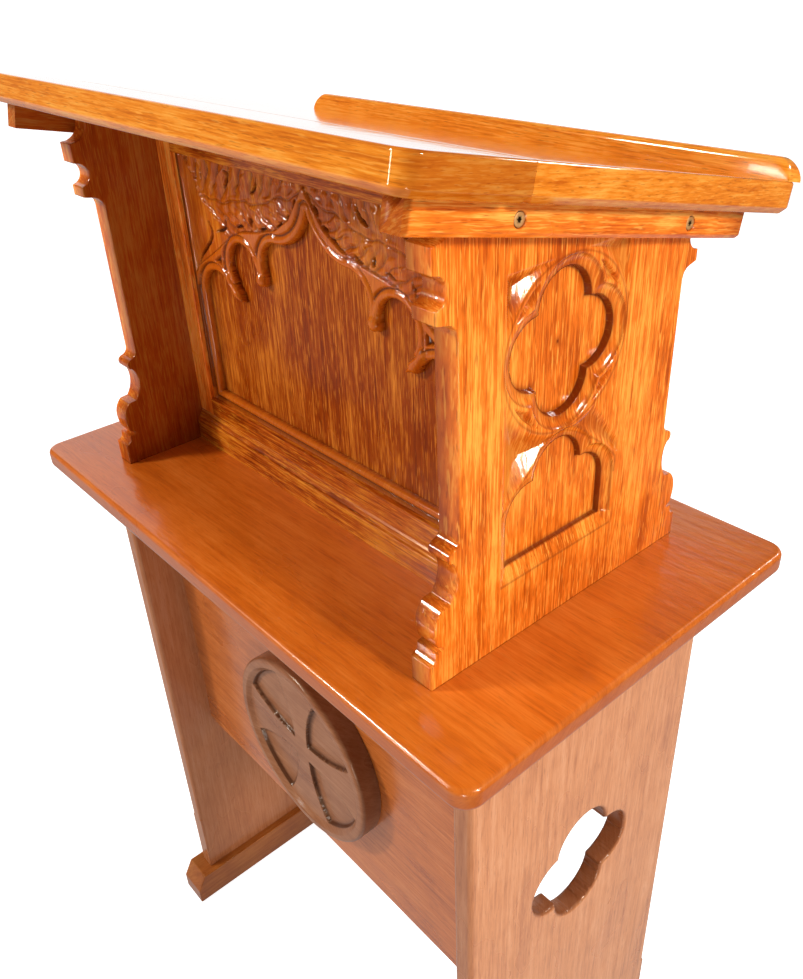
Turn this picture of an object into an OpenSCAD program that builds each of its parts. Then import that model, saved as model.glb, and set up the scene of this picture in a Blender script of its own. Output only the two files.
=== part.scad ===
// Gothic church lectern in oak.
// A sled-footed stand carries an upper unit with carved sides and a cusped
// tracery front; the sloping book desk sits on two screwed battens.
// Frame: +X right as seen by the congregation, the carved front faces -Y,
// +Z up. The origin is on the floor under the middle of the stand.

/* [Stand] */
// Width of the stand's top board
stand_w = 700; // [680:5:760]
// Depth of the stand's top board
stand_d = 417; // [400:1:460]
// Height of the stand's top surface above the floor
stand_h = 797; // [740:1:860]
// Thickness of the stand's top board
top_t = 22; // [20:0.5:28]
// Plan radius of the top board's corners
top_corner_r = 18; // [12:1:30]
// Rounding on the top board's upper arris
top_upper_r = 5; // [2:0.5:6]
// Rounding on the top board's lower arris
top_lower_r = 6.5; // [3:0.5:8]
// Width over the outer faces of the two end boards
ends_w = 602; // [590:2:640]
// Thickness of the end boards
end_t = 22; // [20:1:26]
// Depth of the end boards
end_d = 310; // [290:2:330]
// Rounding on the end boards' upright arrises
end_arris_r = 5; // [3:0.5:8]
// Height above the floor at which that rounding stops
end_arris_stop = 155; // [120:1:200]

/* [Pierced quatrefoil] */
// Radius of each foil cut through the end boards
foil_r = 35; // [26:1:42]
// Height of the quatrefoil's centre above the floor
foil_z = 492; // [420:1:560]
// Rounding on the quatrefoil's edges
foil_edge_r = 3.5; // [2:0.5:5]

/* [Feet] */
// Width of a foot
foot_w = 44; // [38:1:52]
// Height of a foot
foot_h = 50; // [44:1:64]
// Length of a foot
foot_l = 373; // [350:1:410]
// Length of the bevel at each end of a foot
foot_bevel_l = 14; // [8:1:24]
// Height of the bevel at each end of a foot
foot_bevel_h = 24; // [12:1:34]
// Depth of the mortise that takes an end board's tenon
mortise_depth = 26; // [18:1:34]

/* [Apron and medallion] */
// Distance from the middle of the stand to the apron's face
apron_y = 104; // [90:1:120]
// Thickness of the apron
apron_t = 20; // [18:1:24]
// Height of the apron's lower edge above the floor
apron_low = 338; // [280:1:360]
// Height of the medallion's centre above the floor
medal_z = 508; // [495:1:560]
// Radius of the medallion
medal_r = 116; // [100:1:125]
// Thickness of the medallion
medal_t = 25.4; // [22:0.2:30]
// Rounding on the medallion's front edge
medal_edge_r = 5.5; // [3:0.5:7]
// Width of the medallion's raised rim
rim_w = 11; // [8:1:16]
// Sinking of the cross below the rim
cross_sink = 5; // [3:0.5:6]
// Sinking of the four sectors below the cross
sector_sink = 5; // [3:0.5:8]
// Half width of the cross at its middle
cross_neck = 12; // [9:1:16]

/* [Upper unit] */
// Height of the battens' front lower corner above the stand's top
upper_h = 356.8; // [340:1:420]
// Width over the outer faces of the two side panels
upper_w = 518.6; // [500:1:540]
// Thickness of the side panels
side_t = 22.8; // [20:0.4:26]
// Half depth of the side panels' straight shaft
shaft_d = 122.5; // [116:0.5:128]
// Half depth of the square block at the side panels' foot
block_d = 154.5; // [150:0.5:160]
// Height of that block
block_h = 23; // [18:1:26]
// Sinking of the carved foils and arch
carve_depth = 7.5; // [5:0.5:9]

/* [Tracery front] */
// Distance from the middle of the unit to the frame's face
frame_y = 57; // [52:1:70]
// Thickness of the frame's members
frame_t = 24; // [22:1:28]
// Width of the stiles
stile_w = 27; // [24:1:32]
// Sinking of the tracery board below the frame
tracery_sink = 5; // [3:0.5:7]
// Thickness of the tracery board and of the panel behind it
board_t = 9; // [8:0.5:10]
// Depth of the groove that holds both boards
groove_depth = 8; // [6:1:10]
// Half width of the tracery opening between its jambs
jamb_x = 196; // [192:1:198]
// Width of the moulding round the tracery opening
roll_w = 8; // [5:0.5:10]
// Sinking of that moulding below the board's face
roll_sink = 2.5; // [1.5:0.5:3.5]
// Sinking of the ground behind the foliage
ground_sink = 2; // [1:0.5:3]

/* [Desk] */
// Slope of the desk in degrees
slope = 12.5; // [10:0.5:14]
// Width of the desk
desk_w = 600; // [580:2:660]
// Depth of the desk along its slope
desk_d = 408; // [396:1:430]
// Thickness of the desk
desk_t = 24; // [20:0.5:28]
// Overhang of the desk in front of its battens
desk_lead = 22; // [16:1:30]
// Plan radius of the desk's corners
desk_corner_r = 15; // [10:1:22]
// Bevel under the desk's edge
desk_bevel = 5; // [3:0.5:7]
// Depth of the desk's front board
front_board_d = 96; // [80:1:120]
// Width of the book stop
stop_w = 19; // [14:1:24]
// Height of the book stop above the desk
stop_h = 17; // [12:1:24]
// Height of the battens, square to the slope
batten_h = 22; // [20:0.5:28]
// Thickness of the battens
batten_t = 20.5; // [18:0.5:26]
// Length of the battens along the slope
batten_l = 349; // [330:1:360]
// Distance from the middle of the unit to the battens' front end
batten_lead = 181.7; // [172:0.1:190]

/* [Fixings] */
// Diameter of the dowels
dowel_d = 8; // [6:1:10]
// Length of the dowels
dowel_l = 40; // [30:1:50]
// Diameter of the batten screws' heads
head_d = 9.6; // [8:0.2:11]
// Diameter of the batten screws' shanks
shank_d = 4.5; // [3.5:0.5:5.5]
// Diametral clearance round a screw's shank
screw_clearance = 0.5; // [0.3:0.1:0.8]
// Clearance left at the bottom of a mortise, groove or dowel hole
end_clearance = 1; // [0.5:0.5:2]

/* [Hidden] */
$fn = 96;
eps = 0.01;
beyond = 1;

oak_gold = "#b8601c";
oak_brown = "#a4581f";
brass = "#c2a04a";

end_x = ends_w / 2 - end_t / 2;
end_h = stand_h - top_t - foot_h;
side_x = upper_w / 2 - side_t / 2;
inner_x = upper_w / 2 - side_t;
opening_x = inner_x - stile_w;
tracery_y = frame_y - tracery_sink;
groove_t = 2 * board_t;
tenon_t = 12;
tenon_inset = 20;

// height of the desk's underside above the floor at a distance y from the middle
function seat_z(y) = stand_h + upper_h + batten_h / cos(slope)
                     - (y + batten_lead) * tan(slope);

// a square corner's waste outside a quarter round of radius r
module arris_waste(r) {
    difference() {
        square([r + beyond, r + beyond]);
        circle(r);
    }
}

// half section of a board's edge, from the corner's axis outwards
module edge_section(reach, t, upper_r, lower_r) {
    difference() {
        square([reach, t]);
        translate([reach - upper_r, t - upper_r]) arris_waste(upper_r);
        translate([reach - lower_r, lower_r]) mirror([0, 1]) arris_waste(lower_r);
    }
}

// half section of a board's edge with a flat bevel below
module bevel_section(reach, t, bevel, upper_r) {
    difference() {
        square([reach, t]);
        translate([reach - upper_r, t - upper_r]) arris_waste(upper_r);
        polygon([[reach - bevel, 0], [reach, bevel], [reach + beyond, bevel],
                 [reach + beyond, -beyond], [reach - bevel, -beyond]]);
    }
}

// board w by d with rounded corners whose whole edge follows the child section
module moulded_board(w, d, r, t) {
    x = w / 2 - r;
    y = d / 2 - r;
    translate([-x, -y, 0]) cube([2 * x, 2 * y, t]);
    for (sx = [-1, 1], sy = [-1, 1])
        translate([sx * x, sy * y, 0]) rotate_extrude() children();
    for (side = [0, 1]) {
        mirror([side, 0, 0])
            translate([x, y, 0]) rotate([90, 0, 0]) linear_extrude(2 * y) children();
        mirror([0, side, 0])
            translate([-x, y, 0]) rotate([90, 0, 90]) linear_extrude(2 * x) children();
    }
}

// carries a flat outline drawn in (y, z) to a board t thick about the plane x
module upright_board(x, t) {
    translate([x - t / 2, 0, 0]) rotate([90, 0, 90]) linear_extrude(t) children();
}

// places children at the four foils of a quatrefoil
module at_foils(offset_r) {
    for (turn = [0 : 90 : 270]) rotate(turn) translate([offset_r, 0, 0]) children();
}

// runs a dowel along z with its middle at the origin
module dowel(l) {
    translate([0, 0, -l / 2]) cylinder(h = l, d = dowel_d);
}

// Stand

module stand_top() {
    color(oak_brown) difference() {
        translate([0, 0, stand_h - top_t])
            moulded_board(stand_w, stand_d, top_corner_r, top_t)
                edge_section(top_corner_r, top_t, top_upper_r, top_lower_r);
        stand_dowel_places() dowel(dowel_l + end_clearance);
        side_dowel_places() dowel(dowel_l + end_clearance);
    }
}

// tool for a round hole of radius r whose edge at z = 0 is rounded over by e
module rounded_hole_edge(r, e) {
    rotate_extrude() difference() {
        square([r + e, e]);
        translate([r + e, e]) circle(e);
    }
}

// quatrefoil hole through a board lying between z = 0 and z = t
module quatrefoil_piercing(r, t, e) {
    at_foils(r) {
        translate([0, 0, -beyond]) cylinder(h = t + 2 * beyond, r = r);
        translate([0, 0, -eps]) rounded_hole_edge(r, e);
        translate([0, 0, t + eps]) mirror([0, 0, 1]) rounded_hole_edge(r, e);
    }
    translate([0, 0, -beyond]) cylinder(h = t + 2 * beyond, r = 0.8 * r);
}

// end board with tenon, standing at the plane x
module end_board(x) {
    tenon_d = end_d - 2 * tenon_inset;
    difference() {
        union() {
            translate([x - end_t / 2, -end_d / 2, foot_h]) cube([end_t, end_d, end_h]);
            translate([x - tenon_t / 2, -tenon_d / 2, foot_h - mortise_depth + end_clearance])
                cube([tenon_t, tenon_d, mortise_depth]);
        }
        for (sx = [-1, 1], sy = [-1, 1])
            translate([x + sx * (end_t / 2 - end_arris_r), sy * (end_d / 2 - end_arris_r),
                       end_arris_stop])
                mirror([sx < 0 ? 1 : 0, 0, 0]) mirror([0, sy < 0 ? 1 : 0, 0])
                    linear_extrude(stand_h) arris_waste(end_arris_r);
        translate([x - end_t / 2, 0, foil_z]) rotate([90, 0, 90])
            quatrefoil_piercing(foil_r, end_t, foil_edge_r);
        stand_dowel_places() dowel(dowel_l + end_clearance);
        apron_dowel_places() dowel(apron_dowel_l + end_clearance);
    }
}

module end_board_left() {
    color(oak_brown) end_board(-end_x);
}

module end_board_right() {
    color(oak_brown) end_board(end_x);
}

// sled foot, bevelled at both ends and mortised for the end board
module foot(x) {
    l = foot_l / 2;
    mortise_l = end_d - 2 * tenon_inset;
    difference() {
        upright_board(x, foot_w) polygon([
            [-l, 0], [l, 0], [l, foot_h - foot_bevel_h], [l - foot_bevel_l, foot_h],
            [foot_bevel_l - l, foot_h], [-l, foot_h - foot_bevel_h]]);
        translate([x - tenon_t / 2, -mortise_l / 2, foot_h - mortise_depth])
            cube([tenon_t, mortise_l, mortise_depth + beyond]);
    }
}

module foot_left() {
    color(oak_brown) foot(-end_x);
}

module foot_right() {
    color(oak_brown) foot(end_x);
}

apron_w = ends_w - 2 * end_t;
apron_arris_r = 2.5;

module apron() {
    color(oak_brown) difference() {
        translate([-apron_w / 2, -apron_y, apron_low]) rotate([90, 0, 90])
            linear_extrude(apron_w) difference() {
                square([apron_t, stand_h - top_t - apron_low]);
                for (back = [0, 1])
                    translate([back ? apron_t - apron_arris_r : apron_arris_r, apron_arris_r])
                        mirror([back ? 0 : 1, 0]) mirror([0, 1]) arris_waste(apron_arris_r);
            }
        apron_dowel_places() dowel(apron_dowel_l + end_clearance);
        medallion_screw_places() screw_hole(medal_screw_l);
    }
}

// Medallion with a cross pattee

// edge of a cross arm: a circle of this radius about (pattee_out, pattee_up)
pattee_out = 150;
pattee_up = 13;
pattee_r = norm([pattee_out - cross_neck, pattee_up - cross_neck]);

// one sunk sector between two arms, in the first quadrant
module sector_outline(r) {
    intersection() {
        circle(r);
        square([r, r]);
        translate([pattee_out, pattee_up]) circle(pattee_r);
        translate([pattee_up, pattee_out]) circle(pattee_r);
    }
}

module medallion() {
    field_r = medal_r - rim_w;
    color(oak_brown) difference() {
        translate([0, -apron_y, medal_z]) rotate([90, 0, 0]) difference() {
            rotate_extrude() difference() {
                square([medal_r, medal_t]);
                translate([medal_r - medal_edge_r, medal_t - medal_edge_r])
                    arris_waste(medal_edge_r);
            }
            translate([0, 0, medal_t - cross_sink])
                cylinder(h = cross_sink + eps, r1 = field_r - cross_sink / 2, r2 = field_r);
            for (turn = [0 : 90 : 270]) rotate(turn)
                translate([0, 0, medal_t - cross_sink - sector_sink])
                    linear_extrude(sector_sink + eps)
                        sector_outline(field_r - cross_sink / 2 - 2);
        }
        medallion_screw_places() screw_hole(medal_screw_l);
    }
}

// Side panels

// hollow of radius r that rises from (d, h) inwards
module hollow_step(d, h, r) {
    difference() {
        translate([0, h]) square([d, r]);
        translate([d, h + r]) circle(r);
    }
}

// hollow of radius r that falls from (d, h) inwards
module hollow_step_below(d, h, r) {
    difference() {
        translate([0, h - r]) square([d, r]);
        translate([d, h - r]) circle(r);
    }
}

belly_d = 149;
belly_h = 53;
belly_r = 22.5;
belly_low_r = 40;
quirk_d = 141;
quirk_h = 33;
quirk_t = 4;
hollow_d = 125;
hollow_h = 93;
nub_d = 134;
nub_h = 112;
nub_r = 5;
fillet_d = 148;
nub_cove_r = 8.5;

// radius at which the hollow's circle just touches the belly's circle
hollow_r = (pow(hollow_d - belly_d + belly_r, 2) + pow(hollow_h - belly_h, 2) - pow(belly_r, 2))
           / (2 * (belly_r - hollow_d + belly_d - belly_r));

// ogee moulding at the foot of a side panel; x is the distance from the middle
module foot_moulding() {
    square([block_d, block_h]);
    square([fillet_d, quirk_h]);
    square([quirk_d, quirk_h + quirk_t]);
    intersection() {
        translate([belly_d - belly_low_r, belly_h]) circle(belly_low_r);
        translate([0, quirk_h + quirk_t]) square([belly_d + beyond, belly_h - quirk_h - quirk_t]);
    }
    intersection() {
        translate([belly_d - belly_r, belly_h]) circle(belly_r);
        translate([0, belly_h]) square([belly_d + beyond, belly_r + beyond]);
    }
    difference() {
        square([belly_d - belly_r / 2, nub_h - nub_r]);
        translate([hollow_d + hollow_r, hollow_h]) circle(hollow_r);
        translate([hollow_d + 4, hollow_h]) square([belly_d, nub_h]);
    }
    translate([nub_d - nub_r, nub_h]) circle(nub_r);
    translate([0, nub_h - nub_r]) square([nub_d - nub_r, 2 * nub_r]);
    difference() {
        translate([0, nub_h]) square([nub_d - nub_r, nub_r + nub_cove_r]);
        translate([shaft_d + nub_cove_r, nub_h + nub_r + nub_cove_r]) circle(nub_cove_r);
    }
}

// moulded capital on the front edge, hung below the desk's seat
front_nose_d = 144;
front_nose_t = 16.5;
front_neck_d = 125;
front_groove_r = 10.75;
front_nub_d = 141;
front_nub_t = 10;
front_cove_r = 11;
cap_drop = 33.5;

module front_capital() {
    nose = seat_z(-front_nose_d) - stand_h - cap_drop;
    nub_top = nose - front_nose_t - 2 * front_groove_r;
    nub_low = nub_top - front_nub_t;
    top_r = front_nose_d - front_neck_d;
    translate([0, nose]) square([front_neck_d, nose]);
    translate([0, nose - front_nose_t]) square([front_nose_d, front_nose_t]);
    hollow_step(front_nose_d, nose, top_r);
    difference() {
        translate([0, nub_low]) square([front_nub_d, nub_top - nub_low + 2 * front_groove_r]);
        translate([front_nub_d + 1, nub_top + front_groove_r]) circle(front_groove_r);
    }
    hollow_step_below(shaft_d + front_cove_r, nub_low, front_cove_r);
}

// smaller capital on the rear edge, ending under the batten
back_nose_d = 139;
back_nose_t = 10;
back_neck_d = 127;
back_cove_r = 11;

module back_capital() {
    nose = seat_z(back_nose_d) - stand_h - cap_drop;
    low = nose - back_nose_t;
    top_r = back_nose_d - back_neck_d;
    translate([0, nose]) square([back_neck_d, nose]);
    translate([0, low]) square([back_nose_d, back_nose_t]);
    hollow_step(back_nose_d, nose, top_r);
    hollow_step_below(shaft_d + back_cove_r, low, back_cove_r);
}

// Carving of the side panels, drawn in (y, z) with z from the stand's top

carve_y = -13;
carve_half_w = 66;
quatrefoil_drop = 116.8;
quatrefoil_z = upper_h - quatrefoil_drop;
quatrefoil_r = 28;
ring_r = carve_half_w + 1;
hollow_reach = 10;
spandrel_depth = 4;
eyelet_r = 14;
eyelet_w = 6;
jamb_reach = 10;
arch_half_w = carve_half_w - jamb_reach;
arch_sill = 68;
sill_reach = 11;
arch_springing_drop = 127;
arch_springing = quatrefoil_z - arch_springing_drop;
arch_lobe_r = 27;
arch_stilt = 25;
arch_top_h = arch_springing + arch_stilt;
arch_head_drop = 131;
arch_head_h = quatrefoil_z - arch_head_drop;
arch_head_r = carve_half_w;

// half section of a sinking r wide: an upright wall, then a hollow that leaves
// the wall level and rises ever more steeply to the face
module sinking_section(r, reach) {
    h = carve_depth * 2 / 3;
    hollow_r = (reach * reach + h * h) / (2 * h);
    square([r, carve_depth]);
    intersection() {
        square([r + reach, h]);
        translate([r, h - hollow_r]) circle(hollow_r);
    }
}

module carved_foil(r, reach) {
    rotate_extrude() sinking_section(r, reach);
}

// leaf-shaped hole between two arcs
module eyelet() {
    linear_extrude(spandrel_depth) intersection_for(side = [-1, 1])
        translate([side * (eyelet_r - eyelet_w / 2), 0]) circle(eyelet_r);
}

// trefoil-headed arch with rolled jambs and a bevelled sill
module carved_arch() {
    lobe_x = arch_half_w - arch_lobe_r;
    intersection() {
        translate([0, arch_springing, 0]) rotate([90, 0, 0]) linear_extrude(arch_springing) {
            sinking_section(arch_half_w, jamb_reach);
            mirror([1, 0]) sinking_section(arch_half_w, jamb_reach);
        }
        translate([-carve_half_w - beyond, 0, 0]) rotate([90, 0, 90])
            linear_extrude(2 * carve_half_w + 2 * beyond) polygon([
                [arch_sill - sill_reach, 0], [arch_sill, carve_depth * 2 / 3],
                [arch_sill, carve_depth], [arch_springing, carve_depth], [arch_springing, 0]]);
    }
    for (side = [-1, 1]) translate([side * lobe_x, arch_springing, 0])
        carved_foil(arch_lobe_r, jamb_reach);
    translate([0, arch_top_h, 0]) carved_foil(arch_lobe_r, jamb_reach);
    translate([-lobe_x, arch_springing - beyond, 0])
        cube([2 * lobe_x, arch_top_h - arch_springing + beyond, carve_depth]);
}

// sunk ground between the circle, the arch's head and the frame round both
module spandrel_outline() {
    difference() {
        translate([-carve_half_w, arch_head_h])
            square([2 * carve_half_w, quatrefoil_z + carve_half_w - arch_head_h]);
        translate([0, quatrefoil_z]) circle(ring_r);
        translate([0, arch_head_h]) circle(arch_head_r);
        translate([-carve_half_w - beyond, arch_head_h - beyond])
            square([2 * carve_half_w + 2 * beyond, ring_r / 3]);
    }
}

// everything cut out of one side panel's outer face, which lies at z = 0
module side_carving() {
    translate([carve_y, 0, -eps]) {
        translate([0, quatrefoil_z, 0]) {
            at_foils(quatrefoil_r) carved_foil(quatrefoil_r, hollow_reach);
            cylinder(h = carve_depth, r = quatrefoil_r);
            rotate(45) at_foils(ring_r - 1.5 * eyelet_w) eyelet();
        }
        linear_extrude(spandrel_depth) spandrel_outline();
        carved_arch();
    }
}

module side_outline() {
    difference() {
        translate([0, stand_h]) {
            translate([-shaft_d, 0]) square([2 * shaft_d, 2 * upper_h]);
            foot_moulding();
            mirror([1, 0]) foot_moulding();
            mirror([1, 0]) front_capital();
            back_capital();
        }
        desk_space();
    }
}

// everything above the desk's underside, seen from the side
module desk_space() {
    translate([0, seat_z(0)]) rotate(-slope)
        translate([-2 * upper_h, 0]) square([4 * upper_h, 3 * upper_h]);
}

// side panel at the right; its carved face looks outwards
module side_panel() {
    difference() {
        upright_board(side_x, side_t) side_outline();
        translate([upper_w / 2, 0, stand_h]) rotate([90, 0, 90])
            mirror([0, 0, 1]) side_carving();
        side_dowel_places() dowel(dowel_l + end_clearance);
        batten_screw_places() pilot_hole(side_screw_l);
    }
}

module side_panel_right() {
    color(oak_gold) side_panel();
}

module side_panel_left() {
    color(oak_gold) mirror([1, 0, 0]) side_panel();
}

// Tracery front between the side panels

plinth_h = 25;
plinth_front = 7;
plinth_cove_r = 8;
frame_low = plinth_h + plinth_cove_r + 3;
bottom_rail_h = 20;
top_rail_drop = 34.8;
top_rail_low = upper_h - top_rail_drop;
sill_h = 68;

// height of the frame's parts above the stand's top
function frame_top() = seat_z(frame_t - frame_y) - stand_h;

// outline swept along X between x = -w and x = w, drawn in (y, z)
module cross_member(w) {
    translate([-w, 0, stand_h]) rotate([90, 0, 90]) linear_extrude(2 * w) children();
}

module plinth_rail() {
    color(oak_gold) cross_member(inner_x) translate([-frame_y, 0]) difference() {
        translate([-plinth_front, 0]) square([frame_t + plinth_front, frame_low]);
        translate([-plinth_front, plinth_h + plinth_cove_r]) circle(plinth_cove_r - 1);
        translate([-plinth_front - plinth_cove_r, plinth_h + plinth_cove_r - 1])
            square([plinth_cove_r + plinth_front, plinth_cove_r]);
        translate([-plinth_front - beyond, plinth_h - beyond]) square([2 * beyond, plinth_cove_r]);
    }
}

// groove in a frame member's inner edge for the tracery board and the panel
module groove(w, h) {
    translate([-w, -tracery_y, h]) cube([2 * w, groove_t, groove_depth + end_clearance]);
}

module stile() {
    difference() {
        translate([opening_x, -frame_y, stand_h + frame_low]) rotate([90, 0, 90])
            linear_extrude(stile_w) difference() {
                square([frame_t, frame_top() + frame_t]);
                translate([frame_y, -stand_h - frame_low]) desk_space();
            }
        translate([opening_x - beyond, -tracery_y, stand_h + frame_low - beyond])
            cube([groove_depth + end_clearance + beyond, groove_t, 2 * upper_h]);
    }
}

module stile_right() {
    color(oak_gold) stile();
}

module stile_left() {
    color(oak_gold) mirror([1, 0, 0]) stile();
}

module bottom_rail() {
    color(oak_gold) difference() {
        union() {
            translate([-opening_x, -frame_y, stand_h + frame_low])
                cube([2 * opening_x, frame_t, bottom_rail_h]);
            translate([-opening_x - groove_depth, -tracery_y, stand_h + frame_low])
                cube([2 * opening_x + 2 * groove_depth, groove_t, bottom_rail_h - groove_depth]);
        }
        groove(opening_x + beyond, stand_h + frame_low + bottom_rail_h - groove_depth - end_clearance);
    }
}

module top_rail() {
    color(oak_gold) difference() {
        cross_member(opening_x + groove_depth) difference() {
            translate([-frame_y, top_rail_low]) square([frame_t, frame_top()]);
            translate([0, -stand_h]) desk_space();
        }
        groove(opening_x + groove_depth + beyond, stand_h + top_rail_low - beyond);
        for (side = [0, 1]) mirror([side, 0, 0]) {
            translate([opening_x, -frame_y - beyond, stand_h + top_rail_low - beyond])
                cube([groove_depth + beyond, tracery_sink + beyond, upper_h]);
            translate([opening_x, groove_t - tracery_y, stand_h + top_rail_low - beyond])
                cube([groove_depth + beyond, frame_t, upper_h]);
            translate([opening_x, -frame_y, stand_h + top_rail_low - beyond])
                cube([groove_depth + beyond, frame_t, groove_depth + beyond]);
        }
    }
}

// Cusped ogee tracery head, drawn in (x, z) with z from the stand's top; its
// heights hang from the top rail's lower edge, so they are given as drops

spring_drop = 142;
cusp1_tip_drop = 139;
cusp1_drop = 122;
cusp2_drop = 103;
lobe2_drop = 98;
lobe3_drop = 87;
ogee_tip_drop = 24;
spring_h = top_rail_low - spring_drop;
lobe_bulge = 0.6;
lobe1_r = 30.5;
lobe1_x = jamb_x - lobe1_r + lobe_bulge;
lobe2_x = 113.5;
lobe2_h = top_rail_low - lobe2_drop;
lobe2_r = 24;
lobe3_x = 54;
lobe3_h = top_rail_low - lobe3_drop;
lobe3_r = 24;
ogee_x = 46;
ogee_tip_h = top_rail_low - ogee_tip_drop;
cusp1 = [139, top_rail_low - cusp1_drop];
cusp1_r = 5;
cusp1_tip = [121, top_rail_low - cusp1_tip_drop];
cusp2 = [84.5, top_rail_low - cusp2_drop];
cusp2_r = 6.5;
cusp_tip_r = 2;
bar_share = 0.95;

// outline that tapers between two circles, for a drooping cusp; the bar is a
// little narrower than the circles, so its edges run into them
module tapered_bar(a, ra, b, rb) {
    translate(a) circle(ra);
    translate(b) circle(rb);
    translate(a) rotate(atan2(b[1] - a[1], b[0] - a[0])) polygon([
        [0, ra * bar_share], [norm(b - a), rb * bar_share],
        [norm(b - a), -rb * bar_share], [0, -ra * bar_share]]);
}

// radius left on a cusp when the opening grows by g
function worn(r, g) = max(r - g / 2, cusp_tip_r / 4);

// the tracery opening grown outwards by g; on each side the ogee's upper arc
// leaves the third lobe level, and the two arcs meet in a point
module head_outline(g) {
    top = lobe3_h + lobe3_r + g;
    rise = ogee_tip_h + g - top;
    sweep_r = (ogee_x * ogee_x + rise * rise) / (2 * rise);
    spine = [[lobe1_x, spring_h - beyond], cusp1, [lobe2_x, lobe2_h], cusp2,
             [lobe3_x, lobe3_h], [ogee_x, top + lobe_bulge]];
    difference() {
        union() {
            translate([-jamb_x - g, sill_h - g])
                square([2 * (jamb_x + g), spring_h - sill_h + g]);
            for (side = [-1, 1]) {
                translate([side * lobe1_x, spring_h]) circle(lobe1_r + g);
                translate([side * lobe2_x, lobe2_h]) circle(lobe2_r + g);
                translate([side * lobe3_x, lobe3_h]) circle(lobe3_r + g);
            }
            polygon([for (p = spine) p, [0, top + rise + beyond],
                     for (i = [len(spine) - 1 : -1 : 0]) [-spine[i][0], spine[i][1]]]);
        }
        for (side = [0, 1]) mirror([side, 0]) {
            translate([ogee_x, top + sweep_r]) circle(sweep_r);
            tapered_bar(cusp1, worn(cusp1_r, g), cusp1_tip, worn(cusp_tip_r, g));
            translate(cusp2) circle(worn(cusp2_r, g));
        }
    }
}

// ground of the foliage: above the hood line, under the top rail, given as
// drops from the rail's lower edge
hood_x = 202;
hood_drop = 132;
hood_haunch_drop = 90;
hood_waist_drop = 58;
hood_neck_drop = 44;
hood_tip_drop = 20;
hood_top_drop = 6;
hood_h = top_rail_low - hood_drop;
hood_top = top_rail_low - hood_top_drop;
hood_gap = 3;
hood_haunch = [170, top_rail_low - hood_haunch_drop];
hood_waist = [85, top_rail_low - hood_waist_drop];
hood_neck = [30, top_rail_low - hood_neck_drop];
hood_tip_h = top_rail_low - hood_tip_drop;
midrib_w = 4;
leaf_lobes = 7;

module hood_half() {
    difference() {
        polygon([[midrib_w / 2, hood_top], [hood_x, hood_top], [hood_x, hood_h],
                 hood_haunch, hood_waist, hood_neck, [midrib_w / 2, hood_tip_h]]);
        head_outline(roll_w + hood_gap);
    }
}

// serrated leaf: lobes along a curved midrib that shrink from haunch to apex
module leaf() {
    root = [hood_x - 18, hood_h + 44];
    tip = [24, hood_top - 14];
    lobe_r = [15, 8];
    bow = 14;
    for (i = [0 : leaf_lobes - 1]) {
        t = i / (leaf_lobes - 1);
        translate(root + (tip - root) * t + [0, bow * sin(180 * t)])
            circle(lobe_r[0] + (lobe_r[1] - lobe_r[0]) * t);
    }
}

// holes between the leaves' lobes
piercing_r = 4;
piercings = [for (p = [[70, 18], [122, 16], [132, 60], [165, 64]]) [p[0], top_rail_low - p[1]]];

module tracery_board() {
    w = opening_x + groove_depth;
    low = frame_low + bottom_rail_h - groove_depth;
    color(oak_gold) translate([0, -tracery_y, stand_h]) rotate([90, 0, 0])
        mirror([0, 0, 1]) difference() {
            translate([-w, low, 0])
                cube([2 * w, top_rail_low + groove_depth - low, board_t]);
            translate([0, 0, -beyond]) linear_extrude(board_t + 2 * beyond) head_outline(0);
            translate([0, 0, -beyond]) linear_extrude(roll_sink + beyond) head_outline(roll_w);
            translate([0, 0, -beyond]) linear_extrude(ground_sink + beyond) {
                for (side = [0, 1]) mirror([side, 0]) difference() {
                    hood_half();
                    leaf();
                }
            }
            for (side = [0, 1], at = piercings) mirror([side, 0, 0])
                translate([at[0], at[1], -beyond]) cylinder(h = board_t + 2 * beyond, r = piercing_r);
        }
}

module back_panel() {
    w = opening_x + groove_depth;
    low = frame_low + bottom_rail_h - groove_depth;
    color(oak_gold) translate([-w, board_t - tracery_y, stand_h + low])
        cube([2 * w, board_t, top_rail_low + groove_depth - low]);
}

// Desk on its battens

// carries children into the sloping frame: y runs down the slope from the
// battens' front end, z stands square to it from their lower edge
module on_slope() {
    translate([0, -batten_lead, stand_h + upper_h]) rotate([-slope, 0, 0]) children();
}

batten_screws_at = [91, 277];
desk_screws_at = [40, 184, 320];
batten_chamfer = 3;
side_screw_l = 38;
desk_screw_l = 38;

// places children on the right batten's outer face, axis z pointing outwards
module batten_screw_places() {
    on_slope() for (s = batten_screws_at)
        translate([upper_w / 2 + batten_t, s, batten_h / 2]) rotate([0, 90, 0]) children();
}

// places children under the right batten, axis z pointing down
module desk_screw_places() {
    on_slope() for (s = desk_screws_at)
        translate([upper_w / 2 + batten_t / 2, s, 0]) rotate([180, 0, 0]) children();
}

// countersunk hole for a screw that enters from z = 0 towards -z
module screw_hole(l) {
    hole_d = shank_d + screw_clearance;
    translate([0, 0, -l - end_clearance]) cylinder(h = l + 2 * end_clearance, d = hole_d);
    translate([0, 0, -csk_h]) cylinder(h = csk_h + eps, d1 = shank_d, d2 = head_d + 2 * eps);
}

// hole for the screw's threaded end, the same axis and depth
module pilot_hole(l) {
    translate([0, 0, -l - end_clearance]) cylinder(h = l + end_clearance, d = shank_d);
}

csk_h = (head_d - shank_d) / 2;
recess_d = 3.6;
recess_depth = 1.8;

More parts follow.
